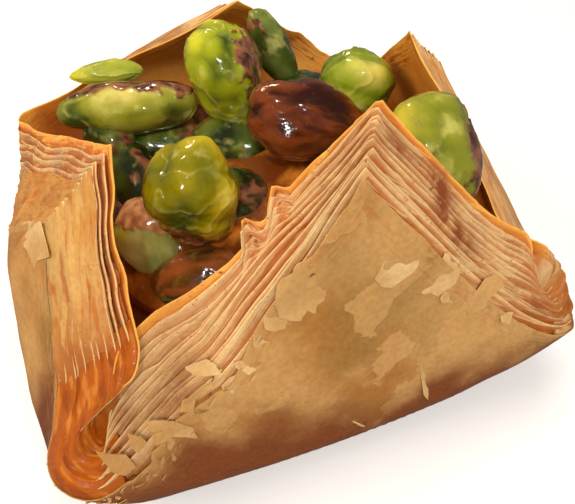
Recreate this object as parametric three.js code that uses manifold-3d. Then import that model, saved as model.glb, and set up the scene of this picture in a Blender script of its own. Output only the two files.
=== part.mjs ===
import * as THREE from 'three';
import { mergeVertices } from 'three/addons/utils/BufferGeometryUtils.js';
import Module from 'manifold-3d';

const wasm = await Module();
wasm.setup();

// A square stack of filo sheets lies cornerwise, filled with pistachio kernels,
// and its four corners are folded up and lean in over the filling.
// Millimetres, +Z up. The folded base is a square with sides along X and Y, its
// centre at the origin, and the front flap is the one at -Y.

const HALF_SIDE = 21;
const STACK_THICKNESS = 2.2;
const LEAF_COUNT = 7;
const CORNER_RADIUS = 7.5;       // bend of the folds where two flaps meet
const CORNER_TURN = 108;         // how far the sheets turn up there, in degrees
const CORNER_SQUASH = 0.2;       // part of the stack's thickness that is pressed out there
const LEAST_BEND = 0.4;

// Each flap: the way it faces, how far its tip lies from the middle of the flat sheet,
// the bend at its foot, how far it turns up (90 is upright), how much its foot bulges
// out, how much its outer leaves bow out, how far its tip leans sideways, and how far
// its inner leaves are pushed in towards its two low corners.
const FLAPS = [
  { out: [0, -1], reach: 44.0, radius: 3.0, turn: 104.7, bulge: -0.3, bow: 0.5, drift: 3.6, pinch: [2.2, 2.2] },
  { out: [1, 0], reach: 40.7, radius: 5.3, turn: 112.0, bulge: 0.5, bow: 0.2, drift: -0.7, pinch: [1.8, 0] },
  { out: [0, 1], reach: 37.5, radius: 9.2, turn: 125.7, bulge: 0.1, bow: 0.0, drift: -4.4, pinch: [0, 0] },
  { out: [-1, 0], reach: 43.5, radius: 3.0, turn: 106.5, bulge: 0.2, bow: 1.9, drift: 10.9, pinch: [0, 2.4] },
];
const DRIFT_HEIGHT = 20;         // height above the fold at which a tip has its whole lean
const PINCH_POWER = 1.5;         // how the push grows from the middle of a flap to its side
const LOW_INSETS = [2.5, 0, 0, 4.0]; // how far the innermost leaf stays behind low on each side
const LOW_WIDTH = 0.16;          // of that, as tip nearness
const BOW_MARGIN = 8;            // from a leaf's edge, over which a wall's bow grows
const LEFT_SWELL = 1.0;          // how far the left wall stands out low down, towards its front
const RIGHT_CORNER = [1.0, 0.6]; // how far the front right corner is drawn out, in x and y

const GRID = 28;                 // cells along each side of the sheet
const EDGE_DISTANCE = 30;        // centre of the sheet to the middle of its side
const LEAF_SHARE = 0.62;         // part of each layer's pitch that is pastry, the rest is gap
const GROOVE_DEPTH = 1.5;        // how far the gap between two leaves reaches in, on the flaps
const CORNER_GROOVE = 0.25;      // the same, low down where two flaps meet
const EDGE_WAVE = 0.28;          // waviness of the free edges, across the sheet
const FACE_WAVE = 0.10;          // waviness of the broad faces
const FAN = 0.06;                // how much the stack opens towards the tips
const EDGE_INSET = 0.5;          // most that a leaf's edge stays behind the full sheet
const OUTER_INSET = 1.0;         // the same for the outer leaf
const RAGGED_INSETS = [3.2, 1.6]; // the two outer leaves on the front flap's torn left edge
const RAGGED_FROM = 3.5;         // sides round the rim where that edge starts

const FLAKE_THICKNESS = 0.35;
const FLAKE_CORNERS = 11;
const FLAKE_SINK = 0.12;         // how far a flake's outer side stands off the sheet

const KERNEL_SIDES = 12;
const KERNEL_RINGS = 8;
const KERNEL_RIDGES = 0.045;     // parts of the kernel's radius
const KERNEL_LUMPS = 0.05;
const KERNEL_SPLIT = 0.10;
const KERNEL_TAPER = 0.14;
const CLEARANCE = 0.3;           // gap kept between a kernel and what it touches

function seededRandom(seed) {
  let state = seed >>> 0;
  return () => {
    state = (state + 0x6d2b79f5) >>> 0;
    let mixed = Math.imul(state ^ (state >>> 15), state | 1);
    mixed ^= mixed + Math.imul(mixed ^ (mixed >>> 7), mixed | 61);
    return ((mixed ^ (mixed >>> 14)) >>> 0) / 4294967296;
  };
}

const clamp = THREE.MathUtils.clamp;
const radians = THREE.MathUtils.degToRad;
const smoothstep = THREE.MathUtils.smoothstep;
const mix = THREE.MathUtils.lerp;

// ---- the folded sheet -------------------------------------------------------------

// Where a point of the flat stack ends up. x and y are its place on the sheet, and
// depth its height above the underside of the stack.
function foldPoint(x, y, depth) {
  const point = new THREE.Vector3(x, y, depth);
  for (const flap of FLAPS) {
    const [outX, outY] = flap.out;
    const outward = x * outX + y * outY;
    const sideways = y * outX - x * outY;
    const corner = clamp(Math.abs(sideways) / HALF_SIDE, 0, 1) ** 2;
    const radius = mix(flap.radius, CORNER_RADIUS, corner);
    const turn = radians(mix(flap.turn, CORNER_TURN, corner));
    const share = Math.sqrt(corner) ** PINCH_POWER * (depth / STACK_THICKNESS);
    const pinch = flap.pinch[sideways < 0 ? 0 : 1] * share;
    const length = outward - (HALF_SIDE + flap.bulge * (1 - corner) - Math.max(pinch, 0) - radius);
    if (length <= 0) {
      continue;
    }
    const inner = Math.max(radius - depth * (1 - CORNER_SQUASH * corner), LEAST_BEND);
    const angle = Math.min(length / inner, turn);
    const straight = Math.max(length - inner * turn, 0);
    const height = Math.min(straight / (flap.reach - HALF_SIDE), 1);
    const margin = EDGE_DISTANCE * (1 - outward / flap.reach - Math.abs(sideways) / 44);
    const loose = (1 - depth / STACK_THICKNESS) * smoothstep(margin, 0, BOW_MARGIN);
    let bow = flap.bow * (1 - corner) * Math.sin(Math.PI * height);
    if (outX < 0) {
      const low = smoothstep(length, 0, 4) * (1 - smoothstep(height, 0.1, 0.6));
      bow += LEFT_SWELL * low * Math.exp(-(((sideways / HALF_SIDE - 0.5) / 0.75) ** 2));
    }
    const run = inner * Math.sin(angle) + straight * Math.cos(turn) + bow * loose;
    const rise = inner * (1 - Math.cos(angle)) + straight * Math.sin(turn);
    const drift = flap.drift * Math.max(rise - CORNER_RADIUS, 0) / DRIFT_HEIGHT;
    point.x += outX * (run - length) - outY * drift;
    point.y += outY * (run - length) + outX * drift;
    point.z += rise;
  }
  const drawn = Math.exp(-((Math.hypot(x - HALF_SIDE, y + HALF_SIDE) / 9) ** 2));
  point.x += RIGHT_CORNER[0] * drawn;
  point.y += RIGHT_CORNER[1] * drawn;
  return point;
}

const SHEET_CORNERS = FLAPS.map((flap) => flap.out.map((value) => value * flap.reach));

// The place on the flat sheet of grid coordinates from -1 to 1: (-1, -1) is the front
// tip, (1, -1) the right one, (1, 1) the back one and (-1, 1) the left one.
function sheetPlace(m, n) {
  const across = (m + 1) / 2;
  const along = (n + 1) / 2;
  const weights = [(1 - across) * (1 - along), across * (1 - along), across * along, (1 - across) * along];
  return [0, 1].map((axis) => weights.reduce((sum, w, i) => sum + w * SHEET_CORNERS[i][axis], 0));
}

const RIM = 4 * GRID;            // points round the edge of the sheet

// Grid coordinates of a place on the rim, counted from the front tip round to the right.
function rimPlace(step) {
  const side = Math.floor(step / GRID) % 4;
  const part = (2 * (step - Math.floor(step / GRID) * GRID)) / GRID - 1;
  return [[part, -1], [1, part], [-part, 1], [-1, -part]][side];
}

function rimStep(m, n) {
  if (n <= -Math.abs(m)) return ((m / -n + 1) / 2) * GRID;
  if (m >= Math.abs(n)) return GRID + ((n / m + 1) / 2) * GRID;
  if (n >= Math.abs(m)) return 2 * GRID + ((-m / n + 1) / 2) * GRID;
  return 3 * GRID + ((n / m + 1) / 2) * GRID;
}

// A smooth random run of values round the rim, from -1 to 1.
function rimNoise(seed, waves) {
  const random = seededRandom(seed);
  const parts = waves.map((count) => ({ count, phase: random() * 2 * Math.PI, size: 0.5 + random() }));
  const total = parts.reduce((sum, part) => sum + part.size, 0);
  return (step) => {
    const turn = (2 * Math.PI * step) / RIM;
    return parts.reduce((sum, part) => sum + part.size * Math.sin(part.count * turn + part.phase), 0) / total;
  };
}

// 0 where two flaps meet low down, 1 at the flaps' tips.
function tipNearness(step) {
  return Math.abs((2 * (step % GRID)) / GRID - 1);
}

function grooveDepth(step) {
  return mix(CORNER_GROOVE, GROOVE_DEPTH, smoothstep(tipNearness(step), 0.1, 0.5));
}

const edgeWave = rimNoise(11, [5, 9, 13, 21]);
const fanNoise = rimNoise(12, [4, 7]);
const leafSwell = Array.from({ length: LEAF_COUNT }, (_, i) => rimNoise(30 + i, [6, 11, 17]));

// How far the edge of each leaf stays behind the full sheet, in mm, at each rim point.
const leafInset = Array.from({ length: LEAF_COUNT }, (_, i) => {
  const random = seededRandom(70 + i);
  return Array.from({ length: RIM }, (_, step) => {
    const ragged = step > RAGGED_FROM * GRID && i < RAGGED_INSETS.length;
    const most = i === 0 ? OUTER_INSET : EDGE_INSET;
    const depth = ragged ? RAGGED_INSETS[i] : most;
    const low = LOW_INSETS[Math.floor(step / GRID)] * (i / (LEAF_COUNT - 1));
    return smoothstep(tipNearness(step), 0.08, 0.45) * depth * mix(0.35, 1, random())
      + low * Math.exp(-((tipNearness(step) / LOW_WIDTH) ** 2));
  });
});

function insetAt(leaf, step) {
  const low = Math.floor(step);
  return mix(leafInset[leaf][low % RIM], leafInset[leaf][(low + 1) % RIM], step - low);
}

// Depths of the outer and inner side of a leaf's edge.
function leafDepths(leaf, step) {
  const shares = leafSwell.map((swell) => 1 + 0.35 * swell(step));
  const total = shares.reduce((sum, share) => sum + share, 0);
  const open = 1 + FAN * tipNearness(step) * (1 + fanNoise(step));
  const unit = (STACK_THICKNESS * open) / (total - (1 - LEAF_SHARE) * shares[LEAF_COUNT - 1]);
  const below = shares.slice(0, leaf).reduce((sum, share) => sum + share, 0);
  const start = below * unit + EDGE_WAVE * tipNearness(step) * edgeWave(step);
  return [start, start + LEAF_SHARE * shares[leaf] * unit];
}

class MeshBuilder {
  constructor() {
    this.positions = [];
    this.triangles = [];
  }

  add(point) {
    this.positions.push(point.x, point.y, point.z);
    return this.positions.length / 3 - 1;
  }

  quad(a, b, c, d) {
    this.triangles.push(a, b, c, a, c, d);
  }

  band(lower, upper) {
    for (let k = 0; k < lower.length; k += 1) {
      const next = (k + 1) % lower.length;
      this.quad(lower[k], lower[next], upper[next], upper[k]);
    }
  }

  geometry() {
    const geometry = new THREE.BufferGeometry();
    geometry.setAttribute('position', new THREE.Float32BufferAttribute(this.positions, 3));
    geometry.setIndex(this.triangles);
    return geometry;
  }
}

function addRim(builder, inset, depth) {
  return Array.from({ length: RIM }, (_, step) => {
    const [x, y] = sheetPlace(...rimPlace(step));
    const scale = 1 - inset(step) / EDGE_DISTANCE;
    return builder.add(foldPoint(x * scale, y * scale, depth(step)));
  });
}

// One broad face of the stack. It meets the rim of points already made for its leaf.
function addFace(builder, rim, leaf, side) {
  const rimIndex = (i, j) => {
    if (j === 0) return rim[i];
    if (i === GRID) return rim[GRID + j];
    if (j === GRID) return rim[3 * GRID - i];
    return i === 0 ? rim[(4 * GRID - j) % RIM] : null;
  };
  const index = [];
  for (let i = 0; i <= GRID; i += 1) {
    index.push([]);
    for (let j = 0; j <= GRID; j += 1) {
      const known = rimIndex(i, j);
      if (known !== null) {
        index[i].push(known);
        continue;
      }
      const m = (2 * i) / GRID - 1;
      const n = (2 * j) / GRID - 1;
      const nearEdge = Math.max(Math.abs(m), Math.abs(n)) ** 6;
      const step = m === 0 && n === 0 ? 0 : rimStep(m, n);
      const scale = 1 - (insetAt(leaf, step) / EDGE_DISTANCE) * nearEdge;
      const [x, y] = sheetPlace(m, n).map((value) => value * scale);
      const level = side === 0 ? 0 : STACK_THICKNESS;
      const ripple = FACE_WAVE * Math.sin(0.9 * x + 0.5 * y) * Math.sin(0.6 * y - 0.7 * x);
      const onFlap = smoothstep(Math.hypot(x, y), HALF_SIDE, HALF_SIDE + 6);
      const depth = mix(level + ripple * onFlap, leafDepths(leaf, step)[side], nearEdge);
      index[i].push(builder.add(foldPoint(x, y, depth)));
    }
  }
  for (let i = 0; i < GRID; i += 1) {
    for (let j = 0; j < GRID; j += 1) {
      const ring = [index[i][j], index[i + 1][j], index[i + 1][j + 1], index[i][j + 1]];
      // Each cell is split along the fold it lies beside.
      const foldsRunUp = i < GRID / 2 !== j < GRID / 2;
      const [a, b, c, d] = foldsRunUp ? ring : [ring[1], ring[2], ring[3], ring[0]];
      if (side === 0) {
        builder.quad(a, d, c, b);
      } else {
        builder.quad(a, b, c, d);
      }
    }
  }
}

function sheetStack() {
  const builder = new MeshBuilder();
  let previous = null;
  for (let leaf = 0; leaf < LEAF_COUNT; leaf += 1) {
    const inset = (step) => leafInset[leaf][step];
    const outer = addRim(builder, inset, (step) => leafDepths(leaf, step)[0]);
    const inner = addRim(builder, inset, (step) => leafDepths(leaf, step)[1]);
    builder.band(outer, inner);
    if (leaf === 0) {
      addFace(builder, outer, leaf, 0);
    } else {
      builder.band(previous, outer);
    }
    if (leaf === LEAF_COUNT - 1) {
      addFace(builder, inner, leaf, 1);
      break;
    }
    const groove = addRim(
      builder,
      (step) => Math.max(leafInset[leaf][step], leafInset[leaf + 1][step]) + grooveDepth(step),
      (step) => (leafDepths(leaf, step)[1] + leafDepths(leaf + 1, step)[0]) / 2,
    );
    builder.band(inner, groove);
    previous = groove;
  }
  return builder.geometry();
}

// ---- torn flakes fused to the outer leaf --------------------------------------------

// place is on the flat sheet, heading the way its free end points there in degrees.
const FLAKES = [
  { place: [6.2, -35.2], length: 6.0, width: 4.4, heading: -62, lift: 0.9, seed: 201 },
  { place: [-7.6, -33.0], length: 4.4, width: 3.4, heading: 205, lift: 0.7, seed: 202 },
  { place: [-10.6, -30.6], length: 4.6, width: 3.0, heading: 230, lift: 0.8, seed: 203 },
  { place: [-13.4, -28.2], length: 5.2, width: 3.2, heading: 215, lift: 0.7, seed: 204 },
  { place: [-16.0, -26.8], length: 4.4, width: 2.8, heading: 200, lift: 0.5, seed: 205 },
  { place: [-32.0, -2.4], length: 6.2, width: 4.6, heading: 150, lift: 0.2, seed: 206 },
  { place: [6.4, -26.6], length: 7.8, width: 1.0, heading: 84, lift: 0.4, seed: 207 },
];

function flakeGeometry({ place, length, width, heading, lift, seed }) {
  const random = seededRandom(seed);
  const builder = new MeshBuilder();
  const cos = Math.cos(radians(heading));
  const sin = Math.sin(radians(heading));
  const point = (angle, reach, depth) => {
    const along = (Math.cos(angle) * reach * length) / 2;
    const across = (Math.sin(angle) * reach * width) / 2;
    const raised = lift * smoothstep(along / length + 0.5, 0.25, 1.05);
    return foldPoint(
      place[0] + along * cos - across * sin,
      place[1] + along * sin + across * cos,
      depth - FLAKE_SINK - raised,
    );
  };
  const rims = [0, FLAKE_THICKNESS].map(() => []);
  for (let k = 0; k < FLAKE_CORNERS; k += 1) {
    const angle = (2 * Math.PI * k) / FLAKE_CORNERS;
    const reach = 0.75 + 0.35 * random();
    rims[0].push(builder.add(point(angle, reach, 0)));
    rims[1].push(builder.add(point(angle, reach, FLAKE_THICKNESS)));
  }
  const centres = [builder.add(point(0, 0, 0)), builder.add(point(0, 0, FLAKE_THICKNESS))];
  builder.band(rims[0], rims[1]);
  for (let k = 0; k < FLAKE_CORNERS; k += 1) {
    const next = (k + 1) % FLAKE_CORNERS;
    builder.triangles.push(centres[0], rims[0][next], rims[0][k]);
    builder.triangles.push(centres[1], rims[1][k], rims[1][next]);
  }
  return builder.geometry();
}

// ---- pistachio kernels ---------------------------------------------------------------

// A ridged, lumpy kernel along its own Z axis, blunt below and slightly pointed above.
function kernelGeometry({ length, width, seed, grow = 0 }) {
  const random = seededRandom(seed);
  const phases = [random(), random(), random(), random()].map((value) => value * 2 * Math.PI);
  const flatness = 0.86 + 0.1 * random();
  const geometry = new THREE.SphereGeometry(1, KERNEL_SIDES, KERNEL_RINGS);
  geometry.deleteAttribute('normal');
  geometry.deleteAttribute('uv');
  geometry.rotateX(Math.PI / 2);
  const position = geometry.attributes.position;
  const point = new THREE.Vector3();
  for (let k = 0; k < position.count; k += 1) {
    point.fromBufferAttribute(position, k);
    const around = Math.atan2(point.y, point.x);
    const girth = Math.hypot(point.x, point.y);
    const ridges = Math.sin(3 * around + phases[0]) + 0.67 * Math.sin(5 * around + phases[1]);
    const lumps = Math.sin(2.6 * point.z + 2 * around + phases[2]);
    const split = Math.exp(-(((around - 0.4) / 0.35) ** 2));
    const relief = KERNEL_RIDGES * ridges + KERNEL_LUMPS * lumps - KERNEL_SPLIT * split;
    const swell = (1 - KERNEL_TAPER * point.z) * (1 + relief * girth);
    const bend = 0.08 * width * (1 - point.z ** 2) * Math.sin(phases[3]);
    position.setXYZ(
      k,
      point.x * (width / 2 + grow) * swell + bend,
      point.y * (width / 2 + grow) * swell * flatness,
      point.z * (length / 2 + grow),
    );
  }
  return mergeVertices(geometry, 1e-4);
}

// heading turns the kernel's pointed end round Z from +X, pitch tips it up, in degrees.
const TOP_KERNELS = [
  { name: 'kernel_knobbly', at: [-6.5, -4.5, 16.0], heading: 14, pitch: -64, length: 9.6, width: 7.6 },
  { name: 'kernel_back', at: [0.1, 7.6, 16.8], heading: -27, pitch: -70, length: 9.2, width: 7.6 },
  { name: 'kernel_long', at: [-8.5, 8.9, 15.0], heading: 165, pitch: -3, length: 11.6, width: 4.9 },
  { name: 'kernel_dark', at: [4.5, -0.4, 16.8], heading: -22, pitch: -13, length: 10.2, width: 6.4 },
  { name: 'kernel_right', at: [10.9, -8.8, 18.3], heading: -62, pitch: -50, length: 9.4, width: 6.4 },
  { name: 'kernel_front', at: [-9.7, -2.0, 10.0], heading: -70, pitch: -70, length: 6.8, width: 5.4 },
  { name: 'kernel_far', at: [10.4, 3.0, 16.8], heading: -24, pitch: -8, length: 6.8, width: 5.0 },
  { name: 'kernel_thin', at: [5.5, 10.2, 16.9], heading: -46, pitch: -58, length: 7.6, width: 3.6 },
  { name: 'kernel_low', at: [-7.3, -6.3, 8.7], heading: 162, pitch: -18, length: 7.2, width: 5.0 },
  { name: 'kernel_behind', at: [-9.4, 13.0, 16.1], heading: 172, pitch: 2, length: 7.2, width: 2.9 },
].map((kernel, k) => ({ ...kernel, seed: 301 + k }));

// Kernels that show in the gaps between those on top.
const LOWER_KERNELS = [
  { at: [-11.0, 7.4, 11.0], heading: -95, pitch: -58, length: 9.0, width: 4.6 },
  { at: [-6.0, 9.0, 10.4], heading: 172, pitch: 0, length: 9.0, width: 6.0 },
  { at: [0.7, 4.6, 11.4], heading: -26, pitch: -8, length: 9.4, width: 6.0 },
  { at: [-1.3, -1.6, 10.2], heading: -24, pitch: -46, length: 8.6, width: 6.0 },
  { at: [-9.6, 4.4, 9.8], heading: -95, pitch: -40, length: 7.6, width: 5.0 },
  { at: [7.6, -4.6, 13.0], heading: 40, pitch: 10, length: 9.0, width: 6.0 },
  { at: [8.4, 6.6, 12.6], heading: -60, pitch: -12, length: 9.0, width: 6.0 },
  { at: [0.6, -8.0, 11.2], heading: 8, pitch: 12, length: 10.0, width: 6.0 },
].map((kernel, k) => ({ ...kernel, seed: 321 + k }));

// The foot of the heap: kernels lean on it all round, but for the corner at -X -Y, where
// the bare pastry shows.
const FOOT_KERNELS = Array.from({ length: 9 }, (_, k) => {
  const angle = radians(-68 + 29 * k);
  return {
    at: [12.2 * Math.cos(angle) + 0.6, 11.6 * Math.sin(angle), 9.2 + 1.6 * Math.cos(angle)],
    heading: (k * 113) % 180,
    pitch: 20 * Math.sin(2.3 * k),
    length: 8.6,
    width: 5.6,
    seed: 340 + k,
  };
});

function kernelTransform({ at, heading, pitch, seed }) {
  const direction = new THREE.Vector3(
    Math.cos(radians(heading)) * Math.cos(radians(pitch)),
    Math.sin(radians(heading)) * Math.cos(radians(pitch)),
    Math.sin(radians(pitch)),
  );
  const roll = new THREE.Quaternion().setFromAxisAngle(new THREE.Vector3(0, 0, 1), (seed % 7) * 0.9);
  const aim = new THREE.Quaternion().setFromUnitVectors(new THREE.Vector3(0, 0, 1), direction);
  return { position: new THREE.Vector3(...at), quaternion: aim.multiply(roll) };
}

function placedKernel(kernel, grow = 0) {
  const { position, quaternion } = kernelTransform(kernel);
  const matrix = new THREE.Matrix4().compose(position, quaternion, new THREE.Vector3(1, 1, 1));
  return kernelGeometry({ ...kernel, grow }).applyMatrix4(matrix);
}

// ---- solids --------------------------------------------------------------------------

function toSolid(geometry) {
  return new wasm.Manifold(new wasm.Mesh({
    numProp: 3,
    vertProperties: Float32Array.from(geometry.attributes.position.array),
    triVerts: Uint32Array.from(geometry.index.array),
  }));
}

function toGeometry(solid) {
  const mesh = solid.getMesh();
  const geometry = new THREE.BufferGeometry();
  geometry.setAttribute('position', new THREE.Float32BufferAttribute(mesh.vertProperties, 3));
  geometry.setIndex(Array.from(mesh.triVerts));
  return geometry;
}

function pastryCase() {
  const flakes = FLAKES.map((flake) => toSolid(flakeGeometry(flake)));
  return toGeometry(flakes.reduce((solid, flake) => solid.add(flake), toSolid(sheetStack())));
}

// The sunken middle of the filling: a mound of sections that narrow as the flaps lean in.
function moundGeometry() {
  const sides = 28;
  const levels = [
    { z: 2.7, half: 12.2 },
    { z: 3.7, half: 14.6 },
    { z: 7.0, half: 14.8 },
    { z: 9.4, half: 12.8 },
    { z: 11.8, half: 9.6 },
  ];
  const builder = new MeshBuilder();
  const rings = levels.map(({ z, half }) => Array.from({ length: sides }, (_, k) => {
    const angle = (2 * Math.PI * k) / sides;
    const bareCorner = 1 - 0.24 * Math.exp(-(((angle - 1.25 * Math.PI) / 0.55) ** 2));
    const squareness = (Math.abs(Math.cos(angle)) ** 3 + Math.abs(Math.sin(angle)) ** 3) ** (1 / 3);
    const reach = (half / squareness) * bareCorner;
    const x = reach * Math.cos(angle) + 0.6;
    const y = reach * Math.sin(angle) - 0.2;
    const slope = (0.16 * x + 0.02 * y) * smoothstep(z, 4, 10);
    return builder.add(new THREE.Vector3(x, y, z + slope));
  }));
  rings.slice(1).forEach((ring, level) => builder.band(rings[level], ring));
  const bottom = builder.add(new THREE.Vector3(0, 0, levels[0].z));
  const top = builder.add(new THREE.Vector3(0.6, 0, levels[levels.length - 1].z + 0.9));
  for (let k = 0; k < sides; k += 1) {
    const next = (k + 1) % sides;
    builder.triangles.push(bottom, rings[0][next], rings[0][k]);
    builder.triangles.push(top, rings[levels.length - 1][k], rings[levels.length - 1][next]);
  }
  return builder.geometry();
}

function kernelBed() {
  let bed = toSolid(moundGeometry());
  for (const kernel of [...LOWER_KERNELS, ...FOOT_KERNELS]) {
    bed = bed.add(toSolid(placedKernel(kernel)));
  }
  for (const kernel of TOP_KERNELS) {
    bed = bed.subtract(toSolid(placedKernel(kernel, CLEARANCE)));
  }
  const pieces = bed.decompose();
  pieces.sort((a, b) => b.volume() - a.volume());
  return toGeometry(pieces[0]);
}

// ---- the part ------------------------------------------------------------------------

const pastry = new THREE.MeshStandardMaterial({ color: 0xd8a25e, roughness: 0.38, metalness: 0 });
const greenKernel = new THREE.MeshStandardMaterial({ color: 0x8f9e36, roughness: 0.25, metalness: 0 });
const darkKernel = new THREE.MeshStandardMaterial({ color: 0x6b3320, roughness: 0.25, metalness: 0 });
const bedKernels = new THREE.MeshStandardMaterial({ color: 0x55602a, roughness: 0.25, metalness: 0 });

function named(name, geometry, material) {
  const mesh = new THREE.Mesh(geometry, material);
  mesh.name = name;
  return mesh;
}

const baklava = new THREE.Group();
baklava.add(named('pastry_case', pastryCase(), pastry));
baklava.add(named('kernel_bed', kernelBed(), bedKernels));
for (const kernel of TOP_KERNELS) {
  const material = kernel.name === 'kernel_dark' ? darkKernel : greenKernel;
  const mesh = named(kernel.name, kernelGeometry(kernel), material);
  const { position, quaternion } = kernelTransform(kernel);
  mesh.position.copy(position);
  mesh.quaternion.copy(quaternion);
  baklava.add(mesh);
}

export default baklava;
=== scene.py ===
import math
import bpy
import bmesh
import numpy as np
from mathutils import Matrix, Vector


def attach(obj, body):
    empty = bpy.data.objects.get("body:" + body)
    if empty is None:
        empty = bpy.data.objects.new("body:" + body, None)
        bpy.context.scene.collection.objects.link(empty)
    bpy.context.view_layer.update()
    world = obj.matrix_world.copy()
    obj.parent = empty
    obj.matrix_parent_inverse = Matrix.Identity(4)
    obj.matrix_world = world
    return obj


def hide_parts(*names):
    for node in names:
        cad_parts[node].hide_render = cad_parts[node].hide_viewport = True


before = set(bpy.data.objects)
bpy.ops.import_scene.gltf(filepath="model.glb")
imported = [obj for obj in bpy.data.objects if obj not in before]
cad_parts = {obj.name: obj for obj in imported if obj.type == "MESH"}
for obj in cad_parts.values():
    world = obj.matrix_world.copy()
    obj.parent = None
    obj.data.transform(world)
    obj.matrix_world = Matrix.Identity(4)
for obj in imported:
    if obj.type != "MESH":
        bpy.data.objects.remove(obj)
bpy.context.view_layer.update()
mm = 0.001


def lerp(a, b, t):
    return a + (b - a) * t


def smoothStep(x, low, high):
    t = np.clip((x - low) / (high - low), 0, 1)
    return t * t * (3 - 2 * t)


def bellCurve(x, centre, width):
    return np.exp(-((x - centre) / width) ** 2)


def makeMesh(name, points, faces):
    mesh = bpy.data.meshes.new(name)
    mesh.from_pydata((np.asarray(points) * mm).tolist(), [], faces)
    mesh.update()
    piece = bpy.data.objects.new(name, mesh)
    bpy.context.scene.collection.objects.link(piece)
    return piece


def turnFacesOut(piece):
    shell = bmesh.new()
    shell.from_mesh(piece.data)
    bmesh.ops.recalc_face_normals(shell, faces=shell.faces)
    shell.to_mesh(piece.data)
    shell.free()
    piece.data.polygons.foreach_set("use_smooth", [True] * len(piece.data.polygons))


def standFor(piece, node, slot):
    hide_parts(node)
    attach(piece, "root")


def wrappedQuads(index):
    # Faces of a grid of points whose columns close round
    after = np.roll(index, -1, axis=1)
    return np.stack([index[:-1], after[:-1], after[1:], index[1:]], -1).reshape(-1, 4)


def wallQuads(ring, offset):
    after = np.roll(ring, -1)
    return np.stack([ring, after, after + offset, ring + offset], -1)


def pastryPiece(name, points, faces, tones):
    # A piece of the case, which keeps its tones, one number for each point, for the materials
    piece = makeMesh(name, points, faces)
    turnFacesOut(piece)
    for label, values in tones.items():
        tone = piece.data.attributes.new(label, "FLOAT", "POINT")
        tone.data.foreach_set("value", np.asarray(values, np.float32))
    standFor(piece, "pastry_case", "filo_pastry")
    return piece


def gridPiece(name, top, under, tones):
    # A closed sheet between two open grids of places
    size = top[..., 0].size
    index = np.arange(size).reshape(top.shape[:2])
    quads = np.stack([index[:-1, :-1], index[1:, :-1], index[1:, 1:], index[:-1, 1:]], -1).reshape(-1, 4)
    ring = np.concatenate([index[0, :-1], index[:-1, -1], index[-1, :0:-1], index[:0:-1, 0]])
    faces = np.concatenate([quads, quads[:, ::-1] + size, wallQuads(ring, size)]).tolist()
    return pastryPiece(name, np.concatenate([top.reshape(-1, 3), under.reshape(-1, 3)]), faces, tones)


def flatWaves(seed, wavelength, count=7):
    # A smooth random field over the flat sheet, about -1 to 1
    rng = np.random.default_rng(seed)
    angle = rng.uniform(0, 2 * np.pi, count)
    size = 2 * np.pi / (wavelength * rng.uniform(0.7, 1.5, count))
    phase = rng.uniform(0, 2 * np.pi, count)

    def field(x, y):
        total = np.zeros(np.shape(x))
        for a, k, p in zip(angle, size, phase):
            total += np.sin(k * (x * np.cos(a) + y * np.sin(a)) + p)
        return total * 1.3 / count
    return field


def rimWaves(seed, counts):
    # The same along the rim, where s runs from 0 to 4 round the four sides
    rng = np.random.default_rng(seed)
    phase = rng.uniform(0, 2 * np.pi, len(counts))
    size = rng.uniform(0.5, 1.5, len(counts))

    def field(s):
        total = sum(a * np.sin(0.5 * np.pi * n * s + p) for a, n, p in zip(size, counts, phase))
        return total / size.sum()
    return field


def tornRun(seed, step):
    # A jagged run along the rim, 0 to 1, straight between random corners step mm apart
    rng = np.random.default_rng(seed)
    count = int(120 / step)
    corners = np.sort(rng.uniform(0, 4, count))
    heights = rng.uniform(0, 1, count) ** 1.3
    heights[-1] = heights[0]
    return lambda s: np.interp(s % 4, corners, heights, period=4)


fold = {
    "halfSide": 21.0,          # mm, half of the folded base
    "thickness": 2.2,          # of the whole stack
    "cornerRadius": 7.5,
    "cornerTurn": 108.0,
    "cornerSquash": 0.2,
    "leastBend": 0.4,
    "leanHeight": 20.0,
    "edgeDistance": 30.0,      # middle of the flat sheet to the middle of its side
    "pinchPower": 1.3,         # how the pinch grows from the middle of a flap to its side
    "flaps": {
        "front": {"out": (0, -1), "reach": 44.0, "radius": 3.0, "turn": 104.7,
                  "bulge": -0.3, "bow": 0.5, "lean": 3.8, "pinch": (2.2, 2.4)},
        "right": {"out": (1, 0), "reach": 40.7, "radius": 5.3, "turn": 112.0,
                  "bulge": 0.5, "bow": 0.2, "lean": -0.7, "pinch": (2.4, 0.0)},
        "back": {"out": (0, 1), "reach": 37.5, "radius": 9.2, "turn": 125.7,
                 "bulge": 0.1, "bow": 0.0, "lean": -4.4, "pinch": (0.0, 0.0)},
        "left": {"out": (-1, 0), "reach": 43.5, "radius": 3.0, "turn": 106.5,
                 "bulge": 0.2, "bow": 1.9, "lean": 10.9, "pinch": (0.9, 3.4)},
    },
    # How far the left wall bulges out low down, towards its front corner
    "swell": {"most": 1.1, "middle": 0.5, "width": 0.75},
    "bowMargin": 8.0,          # mm from a leaf's edge over which a wall's bow and swell grow
    "halfDiagonal": 43.5,      # of the flat sheet
    "marginScale": 31.0,       # from a share of the half diagonal to mm from the edge
    "rightCorner": (1.2, 0.8), # how far the front right corner is drawn out, in x and y
}


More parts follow.
